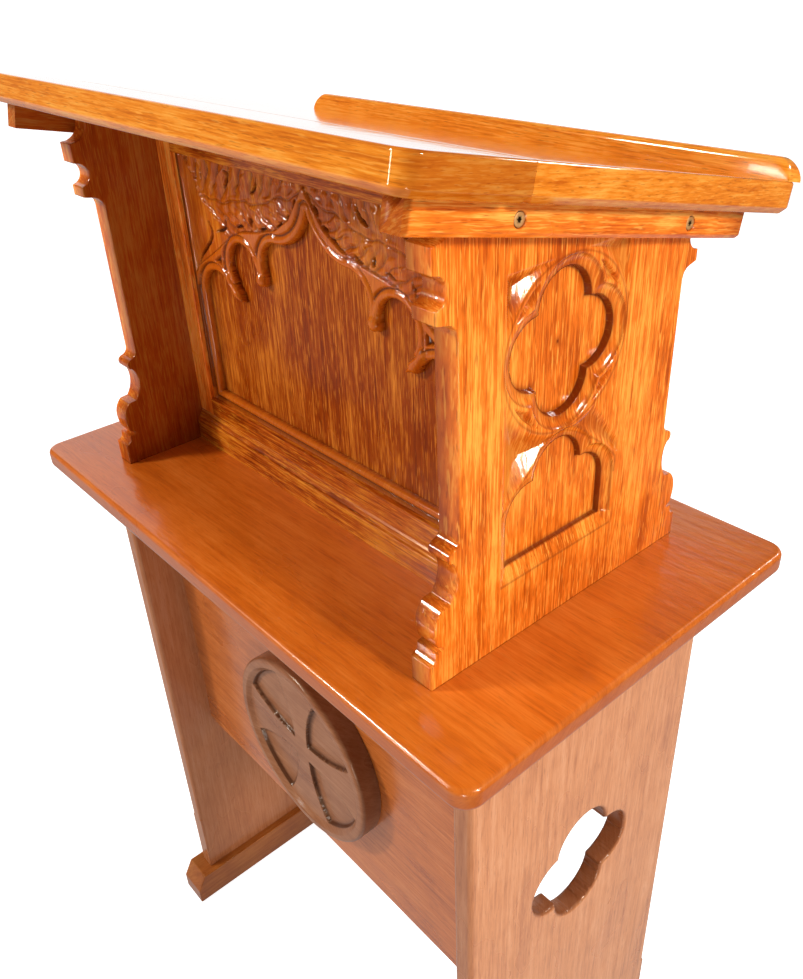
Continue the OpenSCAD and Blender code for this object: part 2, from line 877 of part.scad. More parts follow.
// wood screw with a countersunk head and a six-lobed recess
module wood_screw(l) {
    difference() {
        union() {
            translate([0, 0, -l]) cylinder(h = l - eps, d = shank_d);
            translate([0, 0, -csk_h]) cylinder(h = csk_h, d1 = shank_d, d2 = head_d);
        }
        translate([0, 0, -recess_depth]) cylinder(h = recess_depth + eps, d = recess_d * 0.7);
        for (turn = [0 : 60 : 300]) rotate(turn) translate([recess_d * 0.35, 0, -recess_depth])
            cylinder(h = recess_depth + eps, d = recess_d * 0.3);
    }
}

module batten() {
    difference() {
        on_slope() translate([upper_w / 2, 0, 0]) rotate([90, 0, 0]) mirror([0, 0, 1])
            linear_extrude(batten_l) polygon([
                [0, 0], [batten_t - batten_chamfer, 0], [batten_t, batten_chamfer],
                [batten_t, batten_h], [0, batten_h]]);
        batten_screw_places() screw_hole(side_screw_l);
        desk_screw_places() screw_hole(desk_screw_l);
    }
}

module batten_right() {
    color(oak_gold) batten();
}

module batten_left() {
    color(oak_gold) mirror([1, 0, 0]) batten();
}

module batten_screws() {
    color(brass) for (side = [0, 1]) mirror([side, 0, 0])
        batten_screw_places() wood_screw(side_screw_l);
}

module desk_screws() {
    color(brass) for (side = [0, 1]) mirror([side, 0, 0])
        desk_screw_places() wood_screw(desk_screw_l);
}

desk_upper_r = 2;

// whole desk board before it is parted along the joint
module desk_slab() {
    difference() {
        on_slope() translate([0, desk_d / 2 - desk_lead, batten_h])
            moulded_board(desk_w, desk_d, desk_corner_r, desk_t)
                bevel_section(desk_corner_r, desk_t, desk_bevel, desk_upper_r);
        for (side = [0, 1]) mirror([side, 0, 0]) desk_screw_places() pilot_hole(desk_screw_l);
    }
}

module desk_front_board() {
    color(oak_gold) intersection() {
        desk_slab();
        on_slope() translate([-desk_w, -desk_lead - beyond, 0])
            cube([2 * desk_w, front_board_d + beyond, 3 * desk_t]);
    }
}

module desk_rear_board() {
    color(oak_gold) difference() {
        desk_slab();
        on_slope() translate([-desk_w, -desk_lead - beyond, 0])
            cube([2 * desk_w, front_board_d + beyond, 3 * desk_t]);
    }
}

// book stop along the low edge, with a rounded top and rounded ends
module book_stop() {
    crown_r = stop_w * 0.3;
    stop_x = desk_w / 2 - stop_h;
    color(oak_gold) on_slope()
        translate([0, desk_d - desk_lead - desk_upper_r - stop_w, batten_h + desk_t]) {
            rotate([90, 0, 90]) translate([0, 0, -stop_x]) linear_extrude(2 * stop_x)
                stop_section(crown_r);
            for (side = [0, 1]) mirror([side, 0, 0]) translate([stop_x, 0, 0])
                intersection() {
                    rotate([90, 0, 90]) linear_extrude(stop_h) stop_section(crown_r);
                    rotate([-90, 0, 0]) cylinder(h = stop_w, r = stop_h);
                }
        }
}

module stop_section(crown_r) {
    difference() {
        square([stop_w, stop_h]);
        translate([stop_w - crown_r, stop_h - crown_r]) arris_waste(crown_r);
        translate([crown_r, stop_h - crown_r]) mirror([1, 0]) arris_waste(crown_r);
    }
}

// Hidden dowels and screws

stand_dowels_at = [-110, -40, 40, 110];
side_dowels_at = [-100, 0, 100];
apron_dowels_at = [380, 557, 735];
apron_dowel_l = 36;
apron_dowel_in = 14;
stand_dowel_in = 12;
medal_screws_at = [-70, 70];
medal_screw_in = 14;
medal_screw_l = apron_t + medal_screw_in;

module both_sides() {
    children();
    mirror([1, 0, 0]) children();
}

module stand_dowel_places() {
    both_sides() for (y = stand_dowels_at)
        translate([end_x, y, stand_h - top_t + stand_dowel_in - dowel_l / 2]) children();
}

module side_dowel_places() {
    both_sides() for (y = side_dowels_at)
        translate([side_x, y, stand_h - stand_dowel_in + dowel_l / 2]) children();
}

module apron_dowel_places() {
    both_sides() for (z = apron_dowels_at)
        translate([apron_w / 2 + apron_dowel_in - apron_dowel_l / 2, apron_t / 2 - apron_y, z])
            rotate([0, 90, 0]) children();
}

module medallion_screw_places() {
    for (x = medal_screws_at)
        translate([x, apron_t - apron_y, medal_z]) rotate([-90, 0, 0]) children();
}

module stand_dowels() {
    color(oak_gold) stand_dowel_places() dowel(dowel_l);
}

module side_panel_dowels() {
    color(oak_gold) side_dowel_places() dowel(dowel_l);
}

module apron_dowels() {
    color(oak_gold) apron_dowel_places() dowel(apron_dowel_l);
}

module medallion_screws() {
    color(brass) medallion_screw_places() wood_screw(medal_screw_l);
}

stand_top();
end_board_left();
end_board_right();
foot_left();
foot_right();
apron();
medallion();
side_panel_left();
side_panel_right();
plinth_rail();
stile_left();
stile_right();
bottom_rail();
top_rail();
tracery_board();
back_panel();
batten_left();
batten_right();
batten_screws();
desk_screws();
desk_front_board();
desk_rear_board();
book_stop();
stand_dowels();
apron_dowels();
side_panel_dowels();
medallion_screws();
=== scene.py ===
import bpy
import numpy as np
from mathutils import Matrix, Vector


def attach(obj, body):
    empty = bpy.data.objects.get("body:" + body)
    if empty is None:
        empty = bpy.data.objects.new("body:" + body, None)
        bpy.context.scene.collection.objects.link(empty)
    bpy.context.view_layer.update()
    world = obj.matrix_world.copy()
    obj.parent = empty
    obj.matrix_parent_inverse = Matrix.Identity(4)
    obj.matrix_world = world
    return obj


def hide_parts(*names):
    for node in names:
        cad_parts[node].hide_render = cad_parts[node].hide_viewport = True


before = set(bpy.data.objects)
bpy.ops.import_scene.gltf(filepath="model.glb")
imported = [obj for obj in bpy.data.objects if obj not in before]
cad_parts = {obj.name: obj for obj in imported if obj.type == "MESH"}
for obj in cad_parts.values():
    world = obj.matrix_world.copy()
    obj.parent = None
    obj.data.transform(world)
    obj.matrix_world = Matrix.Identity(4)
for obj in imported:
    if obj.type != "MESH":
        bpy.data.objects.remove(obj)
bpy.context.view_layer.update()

MM = 0.001


# The studio: white paper under and behind the lectern, in a room that the
# varnish mirrors as dim, so that its colours stay clear. The picture is taken
# from the right and above, at arm's length, so the uprights lean together.
def linear(code):
    """An sRGB hex colour as linear red, green, blue and alpha."""
    c = np.array([int(code[i:i + 2], 16) for i in (1, 3, 5)]) / 255.0
    c = np.where(c <= 0.04045, c / 12.92, ((c + 0.055) / 1.055) ** 2.4)
    return (*c.tolist(), 1.0)


def add(tree, kind, inputs=None, **settings):
    """Adds a node, sets its properties, and fills or links its inputs."""
    node = tree.nodes.new(kind)
    for key, value in settings.items():
        setattr(node, key, value)
    for key, value in (inputs or {}).items():
        if isinstance(value, bpy.types.NodeSocket):
            tree.links.new(value, node.inputs[key])
        else:
            node.inputs[key].default_value = value
    return node


def emptied(owner):
    """The node tree of a world or a material, with nothing in it."""
    owner.use_nodes = True
    owner.node_tree.nodes.clear()
    return owner.node_tree


scene = bpy.context.scene
scene.view_settings.view_transform = "Standard"

eye = Vector((644.03, -494.02, 1291.56)) * MM
right_of_view = Vector((0.65797, 0.75186, -0.04212))
down_of_view = Vector((0.36842, -0.37019, -0.85277))
into_view = Vector((-0.65676, 0.54558, -0.52058))
focal_px, picture_px = 911.7, 979
camera_data = bpy.data.cameras.new("view")
camera_data.sensor_width = 36
camera_data.sensor_fit = "AUTO"
camera_data.lens = camera_data.sensor_width * focal_px / picture_px
camera_data.clip_start = 0.01
camera = bpy.data.objects.new("view", camera_data)
turn = Matrix((right_of_view, -down_of_view, -into_view)).transposed()
camera.matrix_world = Matrix.Translation(eye) @ turn.to_4x4()
scene.collection.objects.link(camera)
scene.camera = camera

# The room lights the wood evenly with a warm white, is dimmer in the varnish,
# and is plain white to the camera.
pure_white = (1.0, 1.0, 1.0, 1.0)
world = bpy.data.worlds.new("dim_room")
scene.world = world
tree = emptied(world)
ray = add(tree, "ShaderNodeLightPath")
seen = add(tree, "ShaderNodeMath", {0: ray.outputs["Is Camera Ray"], 1: ray.outputs["Is Transmission Ray"]},
           operation="MAXIMUM")
dim = add(tree, "ShaderNodeBackground", {"Color": linear("#FFF8F0"), "Strength": 0.30})
mirrored = add(tree, "ShaderNodeBackground", {"Color": linear("#FFE8D0"), "Strength": 0.14})
white = add(tree, "ShaderNodeBackground", {"Color": pure_white, "Strength": 1.0})
room = add(tree, "ShaderNodeMixShader", {0: ray.outputs["Is Glossy Ray"], 1: dim.outputs[0],
                                         2: mirrored.outputs[0]})
room = add(tree, "ShaderNodeMixShader", {0: seen.outputs[0], 1: room.outputs[0], 2: white.outputs[0]})
add(tree, "ShaderNodeOutputWorld", {"Surface": room.outputs[0]})


def paper(name, edge, shine):
    """White paper whose mirror image has the brightness shine up to x = edge, and is dark beyond.

    It is matt, just off white, and glows enough to be white to the camera, so
    that only the object's shadow shows on it.
    """
    made = bpy.data.materials.new(name)
    tree = emptied(made)
    ray = add(tree, "ShaderNodeLightPath")
    place = add(tree, "ShaderNodeTexCoord")
    across = add(tree, "ShaderNodeSeparateXYZ", {0: place.outputs["Object"]})
    speck = add(tree, "ShaderNodeTexNoise", {"Scale": 40.0, "Detail": 3.0})
    tone = add(tree, "ShaderNodeMapRange", {"Value": speck.outputs[0], "To Min": 0.80, "To Max": 0.84})
    matt = add(tree, "ShaderNodeBsdfDiffuse", {"Color": tone.outputs[0]})
    glow = add(tree, "ShaderNodeEmission", {"Color": pure_white, "Strength": 0.82})
    both = add(tree, "ShaderNodeAddShader", {0: matt.outputs[0], 1: glow.outputs[0]})
    level = add(tree, "ShaderNodeMapRange", {"Value": across.outputs[0], "From Min": edge,
                                             "From Max": edge + 0.25, "To Min": shine, "To Max": 0.10})
    mirrored = add(tree, "ShaderNodeEmission", {"Color": pure_white, "Strength": level.outputs[0]})
    plain = add(tree, "ShaderNodeMixShader", {0: ray.outputs["Is Glossy Ray"], 1: matt.outputs[0],
                                              2: mirrored.outputs[0]})
    plain = add(tree, "ShaderNodeMixShader", {0: ray.outputs["Is Camera Ray"], 1: plain.outputs[0],
                                              2: both.outputs[0]})
    add(tree, "ShaderNodeOutputMaterial", {"Surface": plain.outputs[0]})
    return made


for name, corners, material in (
        ("floor", [(-40, -40, 0), (40, -40, 0), (40, 40, 0), (-40, 40, 0)],
         paper("white_paper_floor", 0.72, 0.42)),
        ("wall", [(-6.1, 0.0, 0.001), (-2.1, 5.7, 0.001), (-2.1, 5.7, 4.65), (-6.1, 0.0, 4.65)],
         paper("white_paper_wall", 20.0, 1.0))):
    sheet = bpy.data.meshes.new(name)
    sheet.from_pydata(corners, [], [(0, 1, 2, 3)])
    sheet.materials.append(material)
    staged = bpy.data.objects.new(name, sheet)
    scene.collection.objects.link(staged)

# Small lamps, each as name, watts, width, height, place and aim. They are
# small so that their images in the varnish are glints, as in the photograph.
for name, power, wide, tall, spot, aim in (
        ("key", 71.0, 0.5, 0.5, (2.8, 0.25, 2.2), (0.1, 0.0, 0.9)),
        ("front", 56.0, 0.4, 0.4, (-1.5, -2.1, 2.45), (0.0, 0.0, 0.9)),
        ("back", 26.0, 0.4, 0.4, (1.1, 2.7, 2.4), (0.0, 0.0, 0.9)),
        ("window", 9.0, 0.2, 0.6, (-1.1, -2.5, 1.45), (0.0, 0.0, 1.05)),
        ("low", 8.0, 0.26, 0.6, (1.4, -1.4, 0.35), (0.3, -0.2, 1.15))):
    lamp_data = bpy.data.lights.new(name, "AREA")
    lamp_data.shape = "RECTANGLE"
    lamp_data.energy = power
    lamp_data.size = wide
    lamp_data.size_y = tall
    lamp = bpy.data.objects.new(name, lamp_data)
    lamp.location = spot
    lamp.rotation_euler = (Vector(aim) - Vector(spot)).to_track_quat("-Z", "Y").to_euler()
    scene.collection.objects.link(lamp)


# The two sled feet: square oak bars bevelled at both ends, each mortised for
# an end board. The stand's oak is stained a plain reddish brown and has a
# satin varnish; its arrises are just eased with paper.
def oak(name, along, face, cut, dark, mid, light, pore, gloss, coat=0.3, ior=1.45, fleck=0.5, contrast=1.0,
        patch=0.16, broad=1.0, tilt=0.0, polished_top=False):
    """Stained and varnished oak: grain along one axis, the board's face towards another.

    Each layer is a noise with its cells' size in mm along the grain, across it
    and deep, turned about the grain by cut, so a face, an edge and an end show
    their own figure. Growth layers are 3 mm thick, as in slow oak. Real pores
    are 0.3 mm wide and rays 0.5 mm; both are drawn coarser, so that they show.
    Where a board slopes by tilt, the pattern slopes with it. Marks on the
    points: sunk darkens towards the pore colour, for real stain and for
    painted shade in hollows, creases, undersides and faces turned from the
    light; even calms the figure on mouldings; polish, with polished_top, is
    the coat's weight.
    """
    made = bpy.data.materials.new(name)
    tree = emptied(made)
    g, f = "XYZ".index(along), "XYZ".index(face)
    w = 3 - g - f
    place = add(tree, "ShaderNodeTexCoord")
    place = add(tree, "ShaderNodeMapping", {"Vector": place.outputs["Object"],
                                            "Rotation": (np.radians(tilt), 0, 0)}, vector_type="POINT")
    turn = [0.012, 0.012, 0.012]
    turn[g] = np.radians(cut)
    grain, level = {}, {}
    for layer, lengthwise, wide, deep, detail, rough, bend in (
            ("growth", 450, 60, 3.0, 3.0, 0.6, 0.0), ("fibre", 32, 7, 1.5, 3.0, 0.65, 0.0),
            ("streak", 130, 14, 5.0, 2.0, 0.5, 0.0), ("pore", 14, 3, 1.0, 1.0, 0.5, 0.0),
            ("ray", 20, 5, 1.4, 1.0, 0.5, 0.3), ("cloud", 110, 55, 55, 2.0, 0.5, 0.0),
            ("mottle", 34, 17, 17, 3.0, 0.6, 0.4), ("ripple", 26, 9, 9, 2.0, 0.5, 0.0)):
        size = [0.0, 0.0, 0.0]
        size[g], size[w], size[f] = lengthwise * MM, wide * broad * MM, deep * MM
        cell = add(tree, "ShaderNodeMapping", {"Vector": place.outputs[0], "Rotation": turn, "Scale": size},
                   vector_type="TEXTURE")
        grain[layer] = add(tree, "ShaderNodeTexNoise", {
            "Vector": cell.outputs[0], "Scale": 1.0, "Detail": detail, "Roughness": rough,
            "Distortion": bend}).outputs[0]
    for use, layer, low, high, to_low, to_high in (
            ("cloud", "cloud", 0.3, 0.7, 0.5 - patch, 0.5 + patch),
            ("growth", "growth", 0.3, 0.7, -0.20 * contrast, 0.20 * contrast),
            ("fibre", "fibre", 0.3, 0.7, -0.26 * contrast, 0.26 * contrast),
            ("streak", "streak", 0.3, 0.7, -0.16 * contrast, 0.16 * contrast),
            ("mottle", "mottle", 0.3, 0.7, -0.7 * patch, 0.7 * patch),
            ("ray", "ray", 0.58, 0.67, 0.0, fleck), ("pore", "pore", 0.62, 0.74, 0.0, 0.45 * contrast),
            ("gloss", "cloud", 0.3, 0.7, gloss * 0.8, gloss * 1.3)):
        level[use] = add(tree, "ShaderNodeMapRange", {
            "Value": grain[layer], "From Min": low, "From Max": high, "To Min": to_low,
            "To Max": to_high}).outputs[0]
    tone = level["cloud"]
    for layer in ("growth", "fibre", "streak", "mottle"):
        tone = add(tree, "ShaderNodeMath", {0: tone, 1: level[layer]}).outputs[0]
    even = add(tree, "ShaderNodeAttribute", attribute_name="even")
    tone = add(tree, "ShaderNodeMix", {0: even.outputs["Fac"], 2: tone, 3: 0.55})
    tones = add(tree, "ShaderNodeValToRGB", {"Fac": tone.outputs[0]})
    ramp = tones.color_ramp
    ramp.elements[0].position, ramp.elements[0].color = 0.08, linear(dark)
    ramp.elements[1].position, ramp.elements[1].color = 0.92, linear(light)
    ramp.elements.new(0.5).color = linear(mid)
    sunk = add(tree, "ShaderNodeAttribute", attribute_name="sunk")
    colour = tones.outputs[0]
    for share, over in ((level["ray"], light), (level["pore"], pore), (sunk.outputs["Fac"], pore)):
        colour = add(tree, "ShaderNodeMix", {"Factor": share, 6: colour, 7: linear(over)},
                     data_type="RGBA").outputs[2]
    height = add(tree, "ShaderNodeMath", {0: grain["fibre"], 1: level["pore"]}, operation="SUBTRACT")
    bump = add(tree, "ShaderNodeBump", {"Height": height.outputs[0], "Distance": 0.3 * MM,
                                        "Strength": 0.05 if polished_top else 0.2})
    flow = add(tree, "ShaderNodeBump", {"Height": grain["ripple"], "Distance": 0.8 * MM,
                                        "Strength": 0.08 if polished_top else 0.6})
    skin = add(tree, "ShaderNodeBsdfPrincipled", {
        "Base Color": colour, "Roughness": level["gloss"], "IOR": ior, "Specular Tint": linear("#FFD9A8"),
        "Coat Weight": coat, "Coat Roughness": gloss * 0.5, "Coat IOR": 1.5, "Normal": bump.outputs[0],
        "Coat Normal": flow.outputs[0]})
    if polished_top:
        polish = add(tree, "ShaderNodeAttribute", attribute_name="polish")
        tree.links.new(polish.outputs["Fac"], skin.inputs["Coat Weight"])
    add(tree, "ShaderNodeOutputMaterial", {"Surface": skin.outputs[0]})
    return made


def piece(name, points, quads, caps, material, slot, *nodes, **marks):
    """Makes one closed piece from points in mm, four-cornered faces and flat caps.

    Each point's normal is the sum of the area vectors of the faces round it,
    so flat faces stay flat and eased arrises turn smoothly. Each mark is a
    value per point that the material reads.
    """
    mesh = bpy.data.meshes.new(name)
    counts = np.array([4] * len(quads) + [len(c) for c in caps], dtype=np.int32)
    corners = np.concatenate([np.asarray(quads, dtype=np.int32).ravel()]
                             + [np.asarray(c, dtype=np.int32) for c in caps])
    starts = np.concatenate([[0], np.cumsum(counts)[:-1]]).astype(np.int32)
    mesh.vertices.add(len(points))
    mesh.vertices.foreach_set("co", (points * MM).astype(np.float32).ravel())
    mesh.loops.add(len(corners))
    mesh.loops.foreach_set("vertex_index", corners)
    mesh.polygons.add(len(counts))
    mesh.polygons.foreach_set("loop_start", starts)
    mesh.polygons.foreach_set("use_smooth", np.ones(len(counts), dtype=bool))
    for mark, values in marks.items():
        layer = mesh.attributes.new(mark, "FLOAT", "POINT")
        layer.data.foreach_set("value", np.clip(values, 0, 1).astype(np.float32).ravel())
    mesh.update(calc_edges=True)
    mesh.validate()
    q = points[np.asarray(quads)]
    area = np.cross(q[:, 2] - q[:, 0], q[:, 3] - q[:, 1])
    normal = np.zeros_like(points)
    for k in range(4):
        np.add.at(normal, np.asarray(quads)[:, k], area)
    for c in caps:
        ring = points[np.asarray(c)]
        whole = np.cross(ring, np.roll(ring, -1, axis=0)).sum(axis=0)
        normal[np.asarray(c)] += whole
    normal /= np.maximum(np.linalg.norm(normal, axis=1, keepdims=True), 1e-9)
    mesh.normals_split_custom_set_from_vertices(normal)
    mesh.materials.append(material)
    made = bpy.data.objects.new(name, mesh)
    scene.collection.objects.link(made)
    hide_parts(*nodes)
    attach(made, "root")


def loft(grid, flip=False):
    """Joins rows of closed loops into quads and closes the first and last row with a cap."""
    rows, cols = grid.shape[:2]
    index = np.arange(rows * cols).reshape(rows, cols)
    a = index[:-1]
    b = index[1:]
    quads = np.stack([a, np.roll(a, -1, 1), np.roll(b, -1, 1), b], axis=-1).reshape(-1, 4)
    caps = [index[0][::-1], index[-1]]
    if flip:
        quads = quads[:, ::-1]
        caps = [c[::-1] for c in caps]
    return grid.reshape(-1, 3), quads, caps


def eased(corners, radius, steps=6):
    """A closed outline whose corners are rounded: a parabola leaves each corner at the radius."""
    p = np.asarray(corners, dtype=float)
    r = np.broadcast_to(np.asarray(radius, dtype=float), (len(p),))
    back = np.roll(p, 1, axis=0) - p
    ahead = np.roll(p, -1, axis=0) - p
    lb = np.linalg.norm(back, axis=1)
    la = np.linalg.norm(ahead, axis=1)
    r = np.minimum(r, 0.48 * np.minimum(lb, la))[:, None, None]
    t = np.linspace(0, 1, steps)[None, :, None]
    start = (back / lb[:, None])[:, None] * r
    end = (ahead / la[:, None])[:, None] * r
    return (p[:, None] + start * (1 - t) ** 2 + end * t ** 2).reshape(-1, 2)


def rounding(radius, steps):
    """A quarter round in steps: a measure that falls from the radius to 0, and one that rises to it."""
    turn = np.linspace(0, np.pi / 2, steps)
    return radius * (1 - np.sin(turn)), radius * (1 - np.cos(turn))


def bar(outline, lo, hi, ease, place):
    """The outline carried from lo to hi; at both ends it draws in along a quarter circle."""
    step = np.roll(outline, -1, axis=0) - np.roll(outline, 1, axis=0)
    out = np.stack([step[:, 1], -step[:, 0]], axis=1)
    out /= np.maximum(np.linalg.norm(out, axis=1, keepdims=True), 1e-9)
    inset, rise = rounding(ease, 6)
    inset = np.concatenate([inset, inset[::-1]])
    along = np.concatenate([lo + rise, hi - rise[::-1]])
    rows = outline[None] - out[None] * inset[:, None, None]
    return loft(place(np.broadcast_to(along[:, None], rows.shape[:2]), rows[..., 0], rows[..., 1]))


def along_x(x, y, z):
    """Places a section drawn in (y, z) at x."""
    return np.stack([x, y, z], axis=-1)


# Oak in a dull, darker brown than the stand's boards, under a thin satin coat.
foot_oak = oak("oak_stained_brown_foot", "Y", "X", 50, "#823E12", "#9E541E", "#B26C30", "#522008", 0.30,
               coat=0.4, fleck=0.12, contrast=0.6, patch=0.18)
foot_x, foot_w = 290.0, 44.0
foot_side = eased([(-186.5, 0), (186.5, 0), (186.5, 26), (172.5, 50), (-172.5, 50), (-186.5, 26)], 1.8)
for name, middle in (("foot_left", -foot_x), ("foot_right", foot_x)):
    piece(name, *bar(foot_side, middle - foot_w / 2, middle + foot_w / 2, 1.2, along_x), foot_oak,
          "stand_oak", name)


# The end boards: upright oak boards tenoned into the feet, each pierced by a
# quatrefoil whose edges are rounded. Their upright arrises are rounded too,
# and the rounding stops short of the feet.
def drawn_to(u, v, distance, levels, reach, free=True):
    """Moves free grid points onto the nearest level line of a distance, if it lies within reach.

    The step is the distance left, taken along the distance's own slope.
    """
    levels = np.asarray(levels, dtype=float)
    for _ in range(2):
        d = distance(u, v)
        su = (distance(u + 0.05, v) - distance(u - 0.05, v)) / 0.1
        sv = (distance(u, v + 0.05) - distance(u, v - 0.05)) / 0.1
        steep = np.maximum(su ** 2 + sv ** 2, 0.2)
        near = levels[np.abs(d[..., None] - levels).argmin(axis=-1)]
        gap = np.where(free & (np.abs(near - d) < reach), near - d, 0.0)
        u = u + gap * su / steep
        v = v + gap * sv / steep
    return u, v


def pierced(u, v, front, back, distance):
    """A board on a grid, on both faces the cells outside a hole's outline, and walls along their border."""
    rows, cols = u.shape
    index = np.arange(rows * cols).reshape(rows, cols)
    a, b, c, d = index[:-1, :-1], index[:-1, 1:], index[1:, 1:], index[1:, :-1]
    keep = distance((u[:-1, :-1] + u[1:, 1:]) / 2, (v[:-1, :-1] + v[1:, 1:]) / 2) > 0
    face = np.stack([a, b, c, d], axis=-1)[keep]
    padded = np.pad(keep, 1)
    n = rows * cols
    quads = [face, face[:, ::-1] + n]
    for p, q, beyond in ((a, b, padded[:-2, 1:-1]), (b, c, padded[1:-1, 2:]),
                         (c, d, padded[2:, 1:-1]), (d, a, padded[1:-1, :-2])):
        edge = keep & ~beyond
        p, q = p[edge], q[edge]
        quads.append(np.stack([q, p, p + n, q + n], axis=-1))
    quads = np.concatenate(quads)
    points = np.concatenate([np.stack([u, v, front], axis=-1).reshape(-1, 3),
                             np.stack([u, v, back], axis=-1).reshape(-1, 3)])
    used, again = np.unique(quads, return_inverse=True)
    return points[used], again.reshape(quads.shape), used


def quarter_drop(d, radius):
    """How far a rounded arris falls at a distance d from the edge."""
    k = np.clip(1 - d / radius, 0, 1)
    return radius * (1 - np.sqrt(np.maximum(1 - k ** 2, 0)))


foil_r, foil_z = 35.0, 492.0


def four_foils(u, v, r):
    """Distance outside a quatrefoil round the origin: four circles of r set r from its middle."""
    return np.minimum.reduce([np.hypot(u - r * a, v - r * b) - r
                              for a, b in ((1, 0), (0, 1), (-1, 0), (0, -1))])


def foils(y, z):
    """Distance outside the end board's quatrefoil."""
    return four_foils(y, z - foil_z, foil_r)


half_d, half_t, foot_top, stand_under, arris_stop = 155.0, 11.0, 50.0, 775.0, 155.0
arris_r, foil_edge_r, fine = 5.0, 3.5, 1.6
edge_steps = rounding(arris_r, 7)[1]
columns = np.unique(np.concatenate([-half_d + edge_steps, half_d - edge_steps, np.linspace(-146, -82, 5),
                                    np.linspace(82, 146, 5), np.arange(-80, 80.1, fine)]))
rows = np.unique(np.concatenate([[foot_top, 50.4, 52, 90, 130, 154, 154.5, 155.5, 156, 200, 260, 320, 380],
                                 np.arange(410, 574.1, fine), [600, 660, 720, 774, stand_under]]))
y, z = np.meshgrid(columns, rows)
y, z = drawn_to(y, z, foils, [0, 0.2, 0.7, 1.5, 2.5, foil_edge_r, 5.0], 1.2)
half = half_t - (quarter_drop(np.maximum(foils(y, z), 0), foil_edge_r)
                 + quarter_drop(half_d - np.abs(y), np.where(z > arris_stop, arris_r, 1.0)))
points, quads, used = pierced(y, z, half, -half, foils)
# Pale reddish oak under a satin coat, its pale greyish tone partly a painted
# sheen. The foils' walls and the sides turned inwards carry painted shade,
# and the upright arrises are darker.
end_oak = oak("oak_stained_brown_end", "Z", "X", 50, "#AA6640", "#CE8656", "#DE9E74", "#783A1C", 0.30,
              coat=0.4, fleck=0.12, contrast=0.7, patch=0.10)
foil_shade_and_dark_arrises = np.maximum(np.interp(foils(points[:, 0], points[:, 1]), [0, 1.5, 3.5], [0.75, 0.6, 0.0]),
                        np.interp(half_d - np.abs(points[:, 0]), [0, 3, 5], [0.45, 0.35, 0.0]))
for name, side in (("end_board_left", -1), ("end_board_right", 1)):
    placed = np.stack([side * foot_x + points[:, 2], points[:, 0], points[:, 1]], axis=-1)
    inwards = np.where(points[:, 2] * side < 0, 0.5, 0)
    piece(name, placed, quads, [], end_oak, "stand_oak", name, sunk=np.maximum(foil_shade_and_dark_arrises, inwards))


# The apron: one wide board between the end boards with its grain running
# across, dowelled at both ends; its lower arrises are softened.
apron_front, apron_back, apron_low, apron_half = -104, -84, 338, 279
apron_side = eased([(apron_front, apron_low), (apron_back, apron_low), (apron_back, stand_under),
                    (apron_front, stand_under)], 2.5)
# Reddish oak with a fuller coat, which mirrors the pale floor.
apron_oak = oak("oak_stained_brown_apron", "X", "Y", 50, "#96461A", "#BC6428", "#CE7C42", "#5E260C", 0.30,
                coat=0.7, fleck=0.12, contrast=0.7, patch=0.12)
piece("apron", *bar(apron_side, -apron_half, apron_half, 0.5, along_x), apron_oak, "stand_oak", "apron")


# The medallion: a turned oak disc screwed to the apron. A raised rim with a
# sloping wall surrounds a cross pattee, whose four sectors are sunk deeper.
medal_z, medal_r, medal_t, rim_r = 508.0, 116.0, 25.4, 5.5
sector_centre, sector_low, cross_neck = 150.0, 13.0, 12.0


def sectors(x, z):
    """Distance outside the four sunk sectors, each between two hollow-sided arms and the rim."""
    ax, az = np.abs(x), np.abs(z)
    r = np.hypot(sector_centre - cross_neck, sector_low - cross_neck)
    arms = np.maximum(np.hypot(ax - sector_centre, az - sector_low) - r,
                      np.hypot(ax - sector_low, az - sector_centre) - r)
    return np.maximum(arms, np.hypot(x, z) - 99.0)


rim_in, rim_drop = rounding(rim_r, 9)
rim = medal_r - rim_in
loop_r = np.concatenate([np.linspace(1.0, 100, 86), [101.2, 102.6, 104.0, 105.0, 105.4, 106.2, 108], rim])
angle = np.linspace(0, 2 * np.pi, 361)[:-1]
r, a = np.meshgrid(loop_r, angle, indexing="ij")
x, z = drawn_to(r * np.cos(a), r * np.sin(a), sectors, [-2.4, -1.2, -0.5, 0.0, 0.6, 1.4], 0.62, r < 99.5)
s = sectors(x, z)
r = np.hypot(x, z)
depth = np.interp(r, [0, 100, 104.6, 105.6, medal_r], [5, 5, 0.5, 0, 0])
depth += np.interp(-s, [-1.2, 0.0, 0.5, 2.6, 6], [0, 0.35, 3.0, 4.8, 5.4])
depth += np.interp(r, rim, rim_drop, left=0)
front = np.stack([x, apron_front - medal_t + depth, z + medal_z], axis=-1)
back_r = np.array([medal_r, medal_r - 1, 60.0])[:, None]
back_y = apron_front - np.array([1.0, 0.0, 0.0])[:, None] + 0 * angle
back = np.stack([back_r * np.cos(angle), back_y, back_r * np.sin(angle) + medal_z], axis=-1)
# Painted shade darkens the cuts' walls and creases; the turned edge and the back are darker.
carved = np.interp(s, [-6, -3, -1.4, -0.2, 0.5, 1.4], [0.05, 0.3, 0.85, 0.95, 0.4, 0.0])
turned = np.interp(r, [113, medal_r], [0, 0.5])
sunk = np.concatenate([np.maximum(carved, turned), np.full((3, len(angle)), 0.5)])
# Greyer oak, worn nearly dry, with little gloss.
medal_oak = oak("oak_carved_brown", "X", "Y", 55, "#7C4222", "#966040", "#AC7858", "#441E0C", 0.30,
                coat=0.2, ior=1.35, fleck=0.15, contrast=0.5)
grid = np.concatenate([front, back])
piece("medallion", *loft(grid, flip=True), medal_oak, "stand_oak", "medallion", sunk=sunk)


